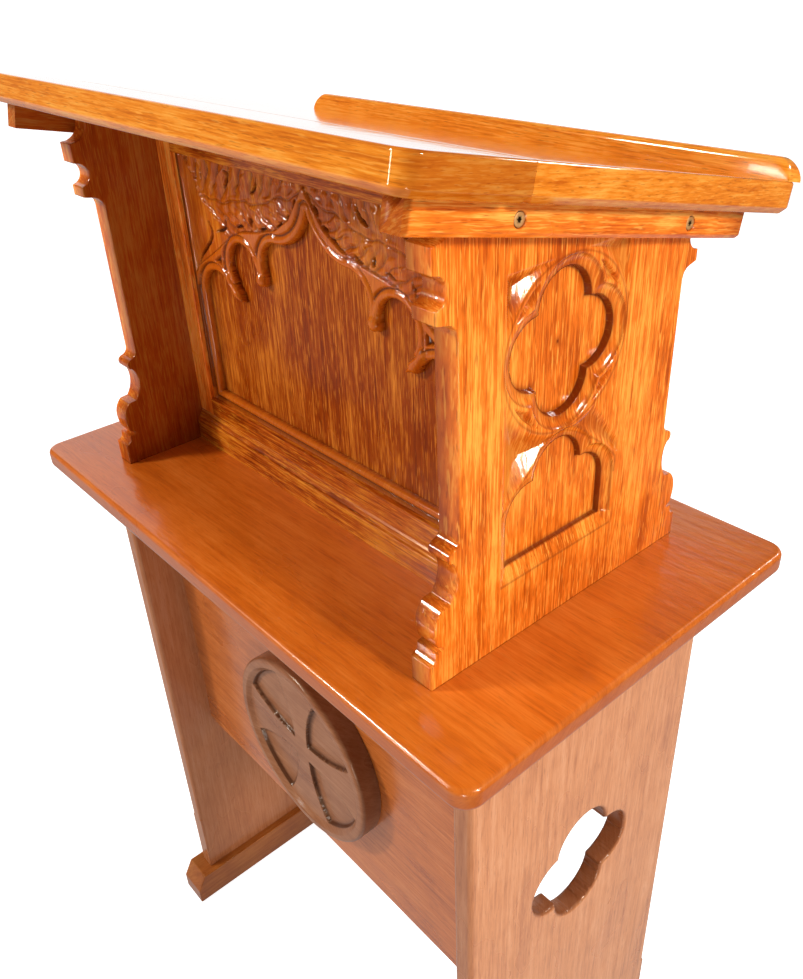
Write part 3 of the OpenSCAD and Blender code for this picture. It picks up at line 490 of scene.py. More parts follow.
# The stand's top: one wide oak board laid on the end boards and dowelled,
# with rounded corners; the upper arris is rounded, the lower one more so.
def plate_loops(x0, x1, y0, y1, radii, insets, levels, steps=10):
    """Loops of a board's outline drawn inwards by each inset at each level; corners stay round."""
    grid = []
    for o, level in zip(insets, levels):
        box = ((x0 + o, y0 + o), (x1 - o, y0 + o), (x1 - o, y1 - o), (x0 + o, y1 - o))
        ring = []
        for (cx, cy), rad, first in zip(box, radii, (180, 270, 0, 90)):
            k = max(rad - o, 0.02)
            turn = np.radians(first + np.linspace(0, 90, steps))
            mx = cx + (k if first in (180, 90) else -k)
            my = cy + (k if first in (180, 270) else -k)
            ring.append(np.stack([mx + k * np.cos(turn), my + k * np.sin(turn)], axis=-1))
        ring = np.concatenate(ring)
        grid.append(np.concatenate([ring, np.full((len(ring), 1), level)], axis=1))
    return np.array(grid)


stand_h, lower_r, upper_r, flat_w = 797.0, 6.5, 5.0, 3.0
lower_in, lower_rise = rounding(lower_r, 8)
upper_drop, upper_in = rounding(upper_r, 8)
insets = np.concatenate([[lower_r + flat_w], lower_in, upper_in, [upper_r + flat_w]])
levels = np.concatenate([[stand_under], stand_under + lower_rise, stand_h - upper_drop, [stand_h]])
grid = plate_loops(-350, 350, -208.5, 208.5, (18, 18, 18, 18), insets, levels)
# Reddish brown oak with the stand's fullest coat, for hands and books rest on
# it; its edge is darker, with painted shade on the lower rounding and the
# underside.
top_oak = oak("oak_stained_brown_top", "X", "Z", 50, "#A8480E", "#CE6616", "#E28030", "#6E280A", 0.30,
              coat=0.8, fleck=0.12, contrast=0.5, patch=0.10)
piece("stand_top", *loft(grid), top_oak, "stand_oak", "stand_top",
      sunk=np.interp(grid[..., 2], [775, 791, 794, 796], [0.4, 0.4, 0.15, 0.0]))


# The side panels of the upper unit: oak boards sawn to a moulded outline,
# dowelled to the stand's top. The outer face is carved with a quatrefoil in
# a ring over a trefoil-headed arch, all worked from the solid.
slope, batten_y, batten_z, batten_h = np.radians(12.5), -181.7, 356.8, 22.0


def seat(y):
    """Height of the desk's underside at y."""
    return stand_h + batten_z + batten_h / np.cos(slope) - (y - batten_y) * np.tan(slope)


def arc(h, middle, radius):
    """Half the width of a circle at a height h."""
    return np.sqrt(np.maximum(radius ** 2 - (h - middle) ** 2, 0))


def foot_profile(z):
    """Half depth of a panel's foot: block, cove, quirk, belly, hollow, nub and shaft."""
    h = z - stand_h
    d = np.interp(h, [0, 22.6, 23.4, 26, 32.6, 33.4, 36.6, 37.4],
                  [154.5, 154.5, 151.5, 148.6, 148, 141, 141, 145.5])
    low = 109 + arc(h, 53, 40)
    high = 126.5 + arc(h, 53, 22.5)
    d = np.where(h > 53, high, np.where(h > 37.4, low, d))
    hollow = 158.5 - arc(h, 92, 33.4)
    d = np.where(h > 70.5, np.minimum(d + 40 * (h > 74), hollow), d)
    d = np.where(h > 104, np.interp(h, [104, 107.2, 108, 109.5, 112, 114.5, 116.4, 117],
                                    [127.6, 129.6, 132.4, 133.5, 134, 133.4, 131.4, 130.4]), d)
    cove = 131 - arc(h, 125.5, 8.5)
    return np.where(h > 117, np.where(h > 125.5, 122.5, np.clip(cove, 122.5, 134)), d)


def cap_front(z):
    """Half depth of the front edge under the desk: cove, nub, deep groove, nose and cove."""
    rise = z - (seat(-144) - 33.5)
    groove = 142 - arc(rise, -27.2, 10.75)
    d = np.interp(rise, [-59.5, -55, -51, -48.6, -48.1, -38.4, -37.9],
                  [122.5, 123.6, 127.2, 133.5, 141, 141, 139])
    d = np.where((rise > -37.9) & (rise < -16.6), groove, d)
    d = np.where(rise >= -16.6, 144.0, d)
    top = 144 - arc(rise, 19, 19)
    return np.where(rise > 0, np.where(rise > 19, 125, top), d)


def cap_back(z):
    """Half depth of the rear edge under the batten: cove, nose and cove."""
    rise = z - (seat(139) - 33.5)
    d = np.interp(rise, [-21, -16, -12.6, -10.4, -9.8, -0.3, 0.3], [122.5, 123.8, 127, 133.5, 139, 139, 138])
    top = 139 - arc(rise, 12, 12)
    return np.where(rise > 0, np.where(rise > 12, 127, top), d)


carve_y, ring_z, ring_r = -13.5, 1037.0, 66.5


def sunk_foils(y, z):
    """Distance outside the carved quatrefoil in its ring."""
    return four_foils(y - carve_y, z - ring_z, 28.0)


def sunk_arch(y, z):
    """Distance outside the trefoil-headed arch, open at its foot, where a sloping sill ends it."""
    u = np.abs(y - carve_y)
    lobes = np.minimum(np.hypot(u - 29.5, z - 907) - 27, np.hypot(u, z - 933.5) - 27)
    body = np.where(z < 907, u - 56.5, 99)
    core = np.where(z < 925, u - 29.5, 99)
    return np.minimum.reduce([lobes, body, core])


def both_sinkings(y, z):
    """The nearer of the two sunk outlines, the arch being cut off at its sill."""
    return np.minimum(sunk_foils(y, z), np.maximum(sunk_arch(y, z), 868 - z))


def cove_depth(s, full, reach=10.0, lip=5.0):
    """Depth of a sunk field and its hollow border: a wall at the outline, then a part circle.

    The hollow leaves the outline level at the lip's depth and rises ever more
    steeply to the face at its reach.
    """
    r = (reach ** 2 + lip ** 2) / (2 * lip)
    hollow = arc(np.clip(s, 0, reach), 0, r) - (r - lip)
    wall = np.interp(s, [-0.45, 0.25], [full, lip])
    return np.where(s < 0.25, wall, np.where(s < reach, hollow, 0.0))


def chip(*sides, most, steep=1.0):
    """A chip cut: planes that fall from each side of the chip and meet in its bottom."""
    return np.clip(np.minimum.reduce([steep * s for s in sides]), 0, most)


def line(y, z, a, b):
    """Distance to the left of the line from a to b."""
    dy, dz = b[0] - a[0], b[1] - a[1]
    return ((y - a[0]) * -dz + (z - a[1]) * dy) / np.hypot(dy, dz)


def arch_head(y, z):
    """Distance inside the arch's outer moulding: shoulders of 40 under two slow arcs that meet."""
    u = np.abs(y - carve_y)
    shoulder = 40 - np.hypot(u - 27.5, z - 925)
    inner = np.where(z < 925, 67.5 - u, np.where(u < 27.5, 965 + 0.12 * (27.5 - u) - z, shoulder))
    return np.minimum(inner, 170 - np.hypot(u + 62, z - 810))


def carving(y, z):
    """Depth of the whole carving below the panel's outer face.

    It is the deepest of all cuts at a point, each with the part of the face
    that it keeps to: the two sunk fields with their hollows and the sill, the
    eyes between foils and moulding, and the chips in the corners.
    """
    u = y - carve_y
    radius = np.hypot(u, z - ring_z)
    s, a, head = sunk_foils(y, z), sunk_arch(y, z), arch_head(y, z)
    sill = np.interp(z, [855, 855.4, 866.5, 867.4, 868.2], [0, 0.3, 5.2, 5.4, 9.5])
    sill = np.where(np.abs(u) < 67, np.minimum(sill, np.clip((67 - np.abs(u)) * 0.52, 0, 9)), 0)
    cuts = [(radius < ring_r, cove_depth(s, 10.5)), (z < 972, np.where(z > 868.2, cove_depth(a, 9.5), sill)),
            (radius < ring_r - 3, chip(1.3 * (s - 12.2), 2.6 * (ring_r - 3 - radius), most=4.6)),
            ((z > 905) & (z < 968) & (head > 0), chip(1.3 * (a - 12.2), 2.4 * (head - 2.0), most=4.4)),
            ((z < 1010) & (z > 925) & (u < 0),
             chip(y + 79, radius - 67.5, 1.45 * (-head - 0.5), steep=0.50, most=9.0)),
            ((z < 980) & (z > 925) & (u > 0),
             chip(radius - 68.5, -head - 1.0, line(y, z, (52, 941), (23, 976)), steep=0.6, most=3.2))]
    for side, edge in ((-1, y + 79), (1, 53 - y)):
        cuts.append(((z > 1040) & (side * u > 0), chip(edge, 1104 - z, radius - 67.5, steep=0.62, most=8.5)))
    return np.maximum.reduce([np.where(inside, depth, 0) for inside, depth in cuts])


# The panel is one closed loft: each row runs across the outer face, round the
# front and rear arrises and back along the inner face. The upper rows fan out
# from level to the desk's slope.
outer_x, inner_x, fine = 259.3, 236.5, 0.82
face_columns = np.arange(-83, 57.1, fine)
level_rows = np.unique(np.concatenate([np.arange(stand_h, 850, 1.0), [819.6, 820.4, 829.6, 830.4],
                                       np.arange(850, 1106.1, fine), [904.2, 905]]))
z_top = level_rows[-1]
fan = np.linspace(0, 1, 62)[1:]
rows = np.concatenate([level_rows, np.full(len(fan), z_top)])
rise = np.concatenate([np.zeros(len(level_rows)), fan])
front_z = rows + rise * (seat(-125.0) - z_top)
back_z = rows + rise * (seat(127.0) - z_top)
d_front = np.where(front_z > 1060, cap_front(front_z), foot_profile(front_z))[:, None]
d_back = np.where(back_z > 1040, cap_back(back_z), foot_profile(back_z))[:, None]
arris_y = np.array([0, 0.10, 0.38, 0.85, 1.5])
arris_x = np.array([1.5, 0.95, 0.45, 0.12, 0.0])
outer_left, outer_right = arris_y - d_front, d_back - arris_y[::-1]
span_left = outer_left[:, -1:] + (face_columns[0] - outer_left[:, -1:]) * np.array([0.25, 0.6])
span_right = face_columns[-1] + (outer_right[:, :1] - face_columns[-1]) * np.array([0.4, 0.75])
middle = np.broadcast_to(face_columns, (len(rows), len(face_columns)))
y = np.concatenate([outer_left, span_left, middle, span_right, outer_right], axis=1)
z = rows[:, None] + rise[:, None] * (seat(y) - z_top)
flat = np.zeros(y.shape, dtype=bool)
flat[:, 8:-8] = True
y, z = drawn_to(y, z, both_sinkings, [-0.45, 0.25, 10.0], 0.40, flat & (rise[:, None] == 0))
deep = np.where(flat, carving(y, z), 0)
edge = np.zeros(y.shape)
edge[:, :5], edge[:, -5:] = arris_x, arris_x[::-1]
outer = np.stack([outer_x - edge - deep, y, z], axis=-1)
back_y = np.concatenate([d_back - arris_y, arris_y[::-1] - d_front], axis=1)
back_x = np.broadcast_to(inner_x + np.concatenate([arris_x, arris_x[::-1]]), back_y.shape)
back_z = rows[:, None] + rise[:, None] * (seat(back_y) - z_top)
grid = np.concatenate([outer, np.stack([back_x, back_y, back_z], axis=-1)], axis=1)
# Painted shade lies in the creases of the carving, along its drawn outlines
# and over the whole inner face.
wall = both_sinkings(y, z)
crease_shade = np.interp(wall, [-5.0, -1.8, -0.5, 0.3, 1.2, 4.0, 7.0, 9.2, 10.2, 11],
                   [0, 0.35, 0.95, 0.9, 0.4, 0.2, 0.08, 0.5, 0.5, 0])
carved = flat & (deep > 0.05)
crease_shade = np.where(carved & (z > 867.6), crease_shade, 0)
crease_shade = crease_shade + np.where(carved & (wall > 10.2), np.clip(deep / 9, 0, 0.35), 0)
ring_line = 0.5 * np.exp(-((np.hypot(y - carve_y, z - ring_z) - ring_r) / 1.1) ** 2)
arch_line = 0.5 * np.exp(-(arch_head(y, z) - 0.3) ** 2) * (z > 905) * (z < 968)
sill_line = 0.55 * np.exp(-(z - 855.2) ** 2) * (np.abs(y - carve_y) < 67)
outlines = np.maximum.reduce([ring_line, arch_line, sill_line])
crease_shade = np.maximum(crease_shade, np.where(flat & (np.abs(y + 13) < 68), outlines, 0))
sunk = np.concatenate([crease_shade, np.full(back_y.shape, 0.72)], axis=1)
# Quarter-sawn oak stained golden under a bright varnish: strong upright
# streaks and pale ray flecks.
side_oak = oak("oak_golden_varnish_side", "Z", "X", 82, "#B04808", "#E67018", "#FFA43E", "#6E2404", 0.2,
               coat=0.6, ior=1.3, fleck=0.7, patch=0.22)
piece("side_panel_right", *loft(grid), side_oak, "desk_oak", "side_panel_right", sunk=sunk)
piece("side_panel_left", *loft(grid * np.array([-1.0, 1.0, 1.0]), flip=True), side_oak, "desk_oak",
      "side_panel_left", sunk=sunk)


# The front's frame: a plinth with a cove on the stand's top, a rail on it,
# two stiles and a head rail, all grooved for the tracery board and the panel.
def along_z(z, x, y):
    """Places a section drawn in (x, y) at z, cut off above by the desk's underside."""
    return np.stack([x, y, np.minimum(z, seat(y))], axis=-1)


# The frame's oak is stained a deeper golden brown. The stiles have a lighter
# copy of it, painted light for the light that they catch.
rail_oak = oak("oak_golden_varnish_rail", "X", "Y", 60, "#7C3006", "#B6520C", "#E08C26", "#4A1804", 0.22,
               coat=0.4, ior=1.3, contrast=1.2)
lit_stile_oak = oak("oak_golden_varnish_stile", "Z", "Y", 60, "#BC5010", "#F47C20", "#FFB450", "#6E2404", 0.22,
                coat=0.4, ior=1.3)
front_y, back_y, plinth_top, rail_top, head_low = -57, -33, 833, 853, 1119
plinth_side = eased([(back_y, stand_h), (back_y, plinth_top), (-56.0, plinth_top), (-57.0, 829.5),
                     (-59.6, 826.6), (-60.6, 823.6), (-63.9, 821.9), (-64.0, stand_h)],
                    [0.3, 0.6, 0.8, 1.4, 0.8, 0.8, 1.3, 0.3])
rail_side = eased([(front_y, plinth_top), (back_y, plinth_top), (back_y, rail_top), (front_y, rail_top)],
                  [0.5, 0.5, 0.5, 0.9])
head_side = eased([(front_y, head_low), (back_y, head_low), (back_y, seat(back_y)), (front_y, seat(front_y))],
                  [0.9, 0.5, 0.4, 0.4])
for name, section, half, ease in (
        ("plinth_rail", plinth_side, 236.4, 0.3), ("bottom_rail", rail_side, 209.4, 0.2),
        ("top_rail", head_side, 209.4, 0.2)):
    piece(name, *bar(section, -half, half, ease, along_x), rail_oak, "desk_oak", name)
for name, low in (("stile_left", -236.5), ("stile_right", 209.5)):
    section = eased([(low, front_y), (low + 27, front_y), (low + 27, back_y), (low, back_y)],
                    [0.9, 0.9, 0.5, 0.5])
    piece(name, *bar(section, plinth_top, 1160, 0.2, along_z), lit_stile_oak, "desk_oak", name)


# The back panel: a thin oak panel with upright grain behind the tracery, held
# in the same groove. It is painted darker than the rest of the upper unit,
# as painted shade under the desk, and has nearly no coat.
shaded_panel_oak = oak("oak_golden_varnish_panel", "Z", "Y", 80, "#6C2404", "#903A04", "#D07824", "#441404", 0.26,
                coat=0.12, ior=1.2, fleck=0.7, contrast=0.8)
section = eased([(-217, -43), (217, -43), (217, -34), (-217, -34)], 0.5)
piece("back_panel", *bar(section, 845, 1127, 0.3, along_z), shaded_panel_oak, "desk_oak", "back_panel")


# The tracery board: a cusped ogee head sawn through thin oak, with a moulding
# round the opening and serrated leaves carved in low relief above the hood.
def beside(x, z, a, b):
    """The share of the way from a to b at which a point lies beside that line, and its distance."""
    ab = np.subtract(b, a)
    t = np.clip(((x - a[0]) * ab[0] + (z - a[1]) * ab[1]) / (ab @ ab), 0, 1)
    return t, np.hypot(x - a[0] - t * ab[0], z - a[1] - t * ab[1])


def segment(x, z, a, b, ra, rb):
    """Distance outside a round-ended bar that tapers from a to b."""
    t, off = beside(x, z, a, b)
    return off - (ra + (rb - ra) * t)


def polygon(x, z, corners):
    """Distance outside a closed polygon: the nearest edge, negative where the winding is odd."""
    near = np.full(x.shape, 1e9)
    odd = np.zeros(x.shape, dtype=bool)
    for (ax, az), (bx, bz) in zip(corners, corners[1:] + corners[:1]):
        near = np.minimum(near, beside(x, z, (ax, az), (bx, bz))[1])
        crossing = (az > z) != (bz > z)
        odd ^= crossing & (x < ax + (z - az) * (bx - ax) / (bz - az if bz != az else 1.0))
    return np.where(odd, -near, near)


lobes = ((165.5, 977.0, 30.5), (113.5, 1021.0, 24.0), (54.0, 1032.0, 24.5))
core = [(0, 960), (165.5, 960), (165.5, 977), (139, 997), (113.5, 1021), (84.5, 1016), (54, 1032),
        (54, 1056.5), (0, 1095), (-20, 1095), (-20, 960)]
sweep_r = (54 ** 2 + 38.5 ** 2) / (2 * 38.5)


def opening(x, z):
    """Distance outside the tracery's opening, the same on both sides of the middle.

    Three round lobes and the jambs hang on a core; the arc over the third lobe
    turns up into the ogee. The cusps are kept out of it: a drooping bud and a
    bead on a short stalk.
    """
    u = np.abs(x)
    jambs = np.maximum(np.maximum(u - 196, 865 - z), z - 977)
    round_lobes = [np.hypot(u - cx, z - cz) - r for cx, cz, r in lobes]
    d = np.minimum.reduce([jambs, polygon(u, z, core), *round_lobes])
    over = (u < 54) & (z > 1056.5)
    d = np.where(over, np.maximum(d, sweep_r - np.hypot(u - 54, z - 1056.5 - sweep_r)), d)
    return np.maximum(d, -np.minimum(bud(u, z), bead(u, z)))


def bud(u, z):
    """Distance outside the first cusp: a stem that droops inwards and swells into a pointed bud."""
    stem = segment(u, z, (143.5, 1008), (139, 1001), 5.5, 4.6)
    body = segment(u, z, (139, 1001), (131.5, 993), 4.6, 6.0)
    return np.minimum.reduce([stem, body, segment(u, z, (131.5, 993), (123, 986), 5.8, 1.0)])


def bead(u, z):
    """Distance outside the second cusp: a stalk that ends in a round bead."""
    stalk = segment(u, z, (88.5, 1036), (85, 1025), 5.2, 4.2)
    return np.minimum(stalk, np.hypot(u - 83.5, z - 1017) - 7.2)


def under_hood(u, z):
    """Distance above the line under which the two mouldings lie and over which the leaf starts."""
    line_u = [0, 8, 15, 25, 37, 49, 68, 107, 128, 146, 164, 180, 196, 204]
    line_z = [1116, 1105, 1097, 1084, 1077, 1070, 1065, 1058, 1050, 1038, 1027, 1018, 1009, 1000]
    return z - np.interp(u, line_u, line_z)


def stroke(u, z, line, half, taper=1.0):
    """How far a point lies inside a drawn line: 1 on it, falling by the square to 0 at its edge.

    The line's corners are cut twice, and its half width is a power of a sine
    of the run along it, so it ends in points.
    """
    line = np.asarray(line, dtype=float)
    for _ in range(2):
        near, far = line[:-1] * 0.75 + line[1:] * 0.25, line[:-1] * 0.25 + line[1:] * 0.75
        line = np.concatenate([line[:1], np.stack([near, far], axis=1).reshape(-1, 2), line[-1:]])
    runs = np.concatenate([[0], np.cumsum(np.hypot(*np.diff(line, axis=0).T))])
    inside = np.full(u.shape, -9.0)
    for a, b, r0, r1 in zip(line[:-1], line[1:], runs[:-1], runs[1:]):
        t, off = beside(u, z, a, b)
        wide = half * np.sin(np.pi * np.clip((r0 + t * (r1 - r0)) / runs[-1], 0.03, 0.97)) ** taper
        inside = np.maximum(inside, 1 - (off / wide) ** 2)
    return inside


ribs = ((((90, 1085), (74, 1083), (56, 1070)), 3.4), (((74, 1091), (58, 1090), (41, 1079)), 3.2),
        (((128, 1073), (115, 1070), (107, 1064)), 2.6), (((60, 1097), (46, 1096), (30, 1089)), 2.6),
        (((150, 1093), (138, 1103), (128, 1113)), 3.6), (((112, 1092), (98, 1100), (88, 1113)), 3.6))
slits = ((((124.5, 1113), (120, 1107), (123, 1101), (129, 1096)), 2.6),
         (((70, 1113), (72, 1106), (78, 1100), (84, 1097)), 2.2),
         (((167, 1109), (169, 1102), (170, 1097)), 1.4),
         (((168, 1058), (161, 1048), (166, 1040), (182, 1026), (190, 1020), (197, 1011)), 2.2),
         (((134, 1065), (136, 1055), (153, 1050)), 1.8), (((115, 1061), (109, 1063), (103, 1064)), 1.7),
         (((91, 1073), (88, 1069), (88, 1066)), 2.6), (((75, 1066), (69, 1067), (64, 1070)), 1.7),
         (((47, 1072), (41, 1075), (36, 1080)), 1.8), (((30, 1084), (27, 1085), (24, 1087)), 1.9),
         (((18, 1094), (16, 1098), (13, 1103)), 2.0))


def leaf(u, z):
    """Height of the carved leaf, and the painted shade in its cuts, valleys and midrib.

    A wavy midrib runs from the corner to the apex. Lobes sweep forward from it
    on both sides: across them the height is a power of a sine of the run along
    the rib less the distance from it, so they are round with sharp valleys and
    fade out at the rib. Short ribs and slits are drawn as strokes; a toothed
    ridge crosses the root, with plain wood behind it.
    """
    wave_u = u + 2.2 * np.sin(0.11 * z + 0.07 * u + 1.0) + 0.9 * np.sin(0.31 * z - 0.13 * u)
    wave_z = z + 1.6 * np.sin(0.10 * u + 0.6) + 0.8 * np.sin(0.27 * u + 0.2 * z)
    rib_z = np.interp(u, [4, 25, 50, 68, 89, 108, 126, 155, 190],
                      [1112, 1101, 1096, 1091, 1087, 1085, 1083, 1080, 1079])
    q = wave_z - rib_z
    away = np.abs(q)
    run = 207 - wave_u + 3.0 * np.sin(0.05 * u)
    phase = np.where(q > 0, (run - 0.95 * away + 0.012 * away ** 2) / 19.0 + 0.30,
                     (run - 1.25 * away) / 14.5 + 0.15)
    across = np.abs(np.sin(np.pi * phase))
    grown = np.clip((away - 1.5) / 12, 0, 1)
    height = np.where(q > 0, 2.4, 2.0) * across ** 0.6 * grown + 1.4 * (1 - grown)
    fine = np.abs(np.sin(np.pi * (phase * 3 + 0.5 * np.sin(0.15 * away))))
    height = height + 0.4 * (fine - 0.6) * grown
    height = height + 0.4 * np.sin(0.21 * u + 0.34 * z) * np.sin(0.17 * z - 0.26 * u + 1.0)
    height = height - 1.1 * np.exp(-(q / 0.8) ** 2) + 0.6 * np.exp(-((q - 2.8) / 1.7) ** 2)
    dark = np.maximum(0.75 * np.clip((0.34 - across) / 0.34, 0, 1) * grown, 0.6 * np.exp(-(q / 0.7) ** 2))
    for line, half in ribs:
        height = height + 1.2 * np.clip(stroke(wave_u, wave_z, line, half, 0.6), 0, 1)
    ridge_u = np.interp(z, [1048, 1056, 1062, 1068, 1077, 1085, 1096, 1105, 1119],
                        [132, 140, 150, 158, 172, 178, 181, 188, 203])
    behind = (u - ridge_u) * 0.8
    height = np.where(behind > 0, 1.9 + 0.25 * np.sin(0.10 * z + 0.15 * u), height)
    dark = np.where(behind > 0, 0.0, dark)
    teeth = 1.3 + 0.9 * np.sin(1.0 * z + 0.8 * np.sin(0.4 * z))
    height = height + teeth * np.exp(-(behind / 1.8) ** 2) * (z > 1048)
    for line, half in slits:
        cut = stroke(u, z, line, half, 0.5)
        height = height - 3.4 * np.clip(cut * 1.3, 0, 1) + 0.5 * np.clip(cut / 3 + 1, 0, 1) * (cut <= 0)
        dark = np.maximum(dark, np.clip(cut * 2.5, 0, 1))
    beads = np.exp(-((z - 1113) / 1.7) ** 2) * (u < 44) * (u > 12) * np.abs(np.sin(np.pi * u / 3.6))
    return height + 1.6 * beads, dark


# The board's grid: close columns along the jambs' moulding, close rows at the
# sill, and in the head an even grid drawn to the lines of the moulding. The
# leaf ends beside the stiles and under the head rail.
moulded, leaf_end, tracery_front, tracery_back = 8.8, 204.5, 52.0, 43.0
jamb = np.array([196.0, 196.4, 196.9, 197.7, 199.2, 201.5, 203.2, 204.2, 204.6, 205.5])
columns = np.linspace(-217.35, 217.35, 427)
columns = columns[np.abs(np.abs(columns) - 200.5) > 5.2]
columns = np.unique(np.round(np.concatenate([-jamb, columns, jamb]), 4))
sill_rows = [845, 850, 856.0, 856.4, 856.8, 857.8, 859.5, 861.8, 863.3, 864.1, 864.6, 865]
rows = np.unique(np.concatenate([sill_rows, np.linspace(868, 955, 20), np.linspace(958, 1127, 167)]))
x, z = np.meshgrid(columns, rows)
x, z = drawn_to(x, z, opening, [0.0, 0.5, 1.6, 4.4, 7.2, 8.2, moulded], 0.68,
                (z > 960) & (np.abs(x) < 195.6))
u, s = np.abs(x), opening(x, z)
over = under_hood(u, z)
# A roll and a quirk run round the opening; outside them the hood falls to the
# leaf, with a sunk pocket over the outer lobe. The cusps are rounded over.
roll = np.interp(s, [0, 0.4, 0.9, 1.7, 3.2, 5.5, 7.2, 8.2, moulded, 9.4],
                 [4.6, 3.2, 2.4, 1.6, 0.9, 1.1, 2.4, 3.4, 3.0, 0.0])
pocket = np.clip(np.minimum.reduce([s - 11.5, -over - 7.5, 1.5 * (z - 1012)]) / 1.6, 0, 1) * (u > 120)
hood = np.maximum.reduce([np.interp(s - moulded, [0, 0.8, 2.6, 4.5], [3.0, 1.0, 0.2, 0.3]),
                          np.interp(-over, [0, 0.9, 2.5], [1.6, 0.5, 0.0]), 4.5 * pocket])
in_hood = (s > moulded) & (over < 0) & (z > 1000) & (z < head_low) & (u < 196.5)
worked = (over > 0) & (z < head_low) & (u < leaf_end) & (s > moulded)
height, dark = leaf(u, z)
fade = np.clip(over, 0, 1) * np.clip((head_low - z) / 0.6, 0, 1) * np.clip((leaf_end - u) / 1.2, 0, 1)
carved = np.clip(np.maximum(4.2 - height, 5.2 * np.clip(dark * 1.6 - 0.6, 0, 1)), -0.8, 6.0)
depth = np.where(worked, fade * carved + (1 - fade) * 3.2 * (over < 1.2), np.where(in_hood, hood, roll))
swell = np.clip(-np.minimum(bead(u, z), bud(u, z)) / 6.5, 0, 1)
depth = np.where((swell > 0) & (z < 1024), 4.0 - 5.6 * np.sqrt(np.clip(1 - (1 - swell) ** 2, 0, 1)), depth)
points, quads, used = pierced(x, z, tracery_front - depth, np.full(x.shape, tracery_back), opening)
placed = np.stack([points[:, 0], -points[:, 2], points[:, 1]], axis=-1)
# Painted shade lies dark in the leaf's cuts and valleys, the quirk, along the
# hood's edge, as the stiles' shadow beside them and over the board's back.
shade = np.where(worked, np.maximum(0.85 * dark, np.clip((depth - 2.4) / 3.0, 0, 0.8)),
                 np.clip((depth - 2.2) / 1.6, 0, 0.85) * (s > 0.9))
quirk = 0.8 * np.exp(-((s - 8.6) / 0.7) ** 2)
hood_edge = 0.7 * np.exp(-((over - 0.4) / 0.8) ** 2) * (s > moulded) * (u < 204) * (z < head_low)
stile_shadow = 0.85 * np.clip((u - leaf_end) / 1.5, 0, 1) * (z > 866)
shade = np.maximum.reduce([shade, quirk, hood_edge, stile_shadow])
sunk = np.concatenate([shade.ravel(), np.full(depth.size, 0.5)])[used]
calm = np.where(worked, 0.35, np.clip(1.2 - np.maximum(s, 0) / 40, 0, 0.85) * (s < 24))
even = np.concatenate([calm.ravel(), np.zeros(depth.size)])[used]
# The rails' stain under a thicker, glossier varnish, which catches the lamps
# on the mouldings; the figure is calmed, so that the carving reads.
tracery_oak = oak("oak_golden_varnish_carved", "Z", "Y", 85, "#7C3006", "#B6520C", "#E08C26", "#4A1804", 0.16,
                  coat=0.7, ior=1.2, fleck=0.2, contrast=0.8)
piece("tracery_board", placed, quads, [], tracery_oak, "desk_oak", "tracery_board", sunk=sunk, even=even)


# The desk: two oak boards glued edge to edge on two battens, which are
# screwed to the side panels. The lower arris is bevelled, the corners round.
desk_half, desk_t, desk_arris, desk_joint = 300, 24, 2.4, 74
desk_top = batten_h + desk_t


def on_slope(s, x, h):
    """Places a point s down the slope from the battens' front end and h above their lower edge."""
    return np.stack([x, batten_y + s * np.cos(slope) + h * np.sin(slope),
                     stand_h + batten_z - s * np.sin(slope) + h * np.cos(slope)], axis=-1)


def desk_board(s0, s1, radii, end_tone):
    """One desk board: bevelled below, eased above, its outline drawn in x and down the slope.

    The coat is full on top and thin on the edges and the bevel. The bevel
    carries painted shade, and the boards' ends are darker end grain.
    """
    drop, inset = rounding(desk_arris, 7)
    insets = np.concatenate([[9.0, 5.6, 5.0, 4.4, 0.5, 0.15, 0.0], inset, [6.0]])
    levels = np.concatenate([[0, 0, 0.15, 0.6, 4.5, 5.1, 5.8], desk_t - drop, [desk_t]])
    flat = plate_loops(-desk_half, desk_half, s0, s1, radii, insets, batten_h + levels)
    top, bevel = flat[..., 2] > desk_top - 0.1, flat[..., 2] < batten_h + 4.2
    polish = np.where(top, 1.0, np.where(bevel, 0.15, 0.5))
    ends = end_tone * np.clip((np.abs(flat[..., 0]) - 288) / 10, 0, 1) * ~top
    sunk = np.where(bevel, np.maximum(ends, 0.5), ends)
    return loft(on_slope(flat[..., 1], flat[..., 0], flat[..., 2])), dict(polish=polish, sunk=sunk)


# The brightest oak of all, its stain partly painted light for the light on
# the front edge, with a glossy varnish that lies level, so that the top
# mirrors the white wall behind.
desk_oak = oak("oak_golden_varnish_desk", "X", "Z", 3, "#C8600C", "#F08A20", "#FFB24A", "#7A2C06", 0.09,
               ior=1.5, fleck=0.4, contrast=0.9, patch=0.08, broad=2.4, tilt=12.5, polished_top=True)
board, marks = desk_board(-22, desk_joint - 0.05, (15, 15, 0.5, 0.5), 0.56)
piece("desk_front_board", *board, desk_oak, "desk_oak", "desk_front_board", **marks)
board, marks = desk_board(desk_joint + 0.05, 386, (0.5, 0.5, 15, 15), 0.24)
piece("desk_rear_board", *board, desk_oak, "desk_oak", "desk_rear_board", **marks)
batten_out, batten_l, batten_mid, screws_at = 279.8, 349.0, batten_h / 2, (91.0, 277.0)


def from_screw(along, h):
    """Distance from the nearer screw's axis, on a batten's outer face."""
    return np.minimum.reduce([np.hypot(along - at, h - batten_mid) for at in screws_at])


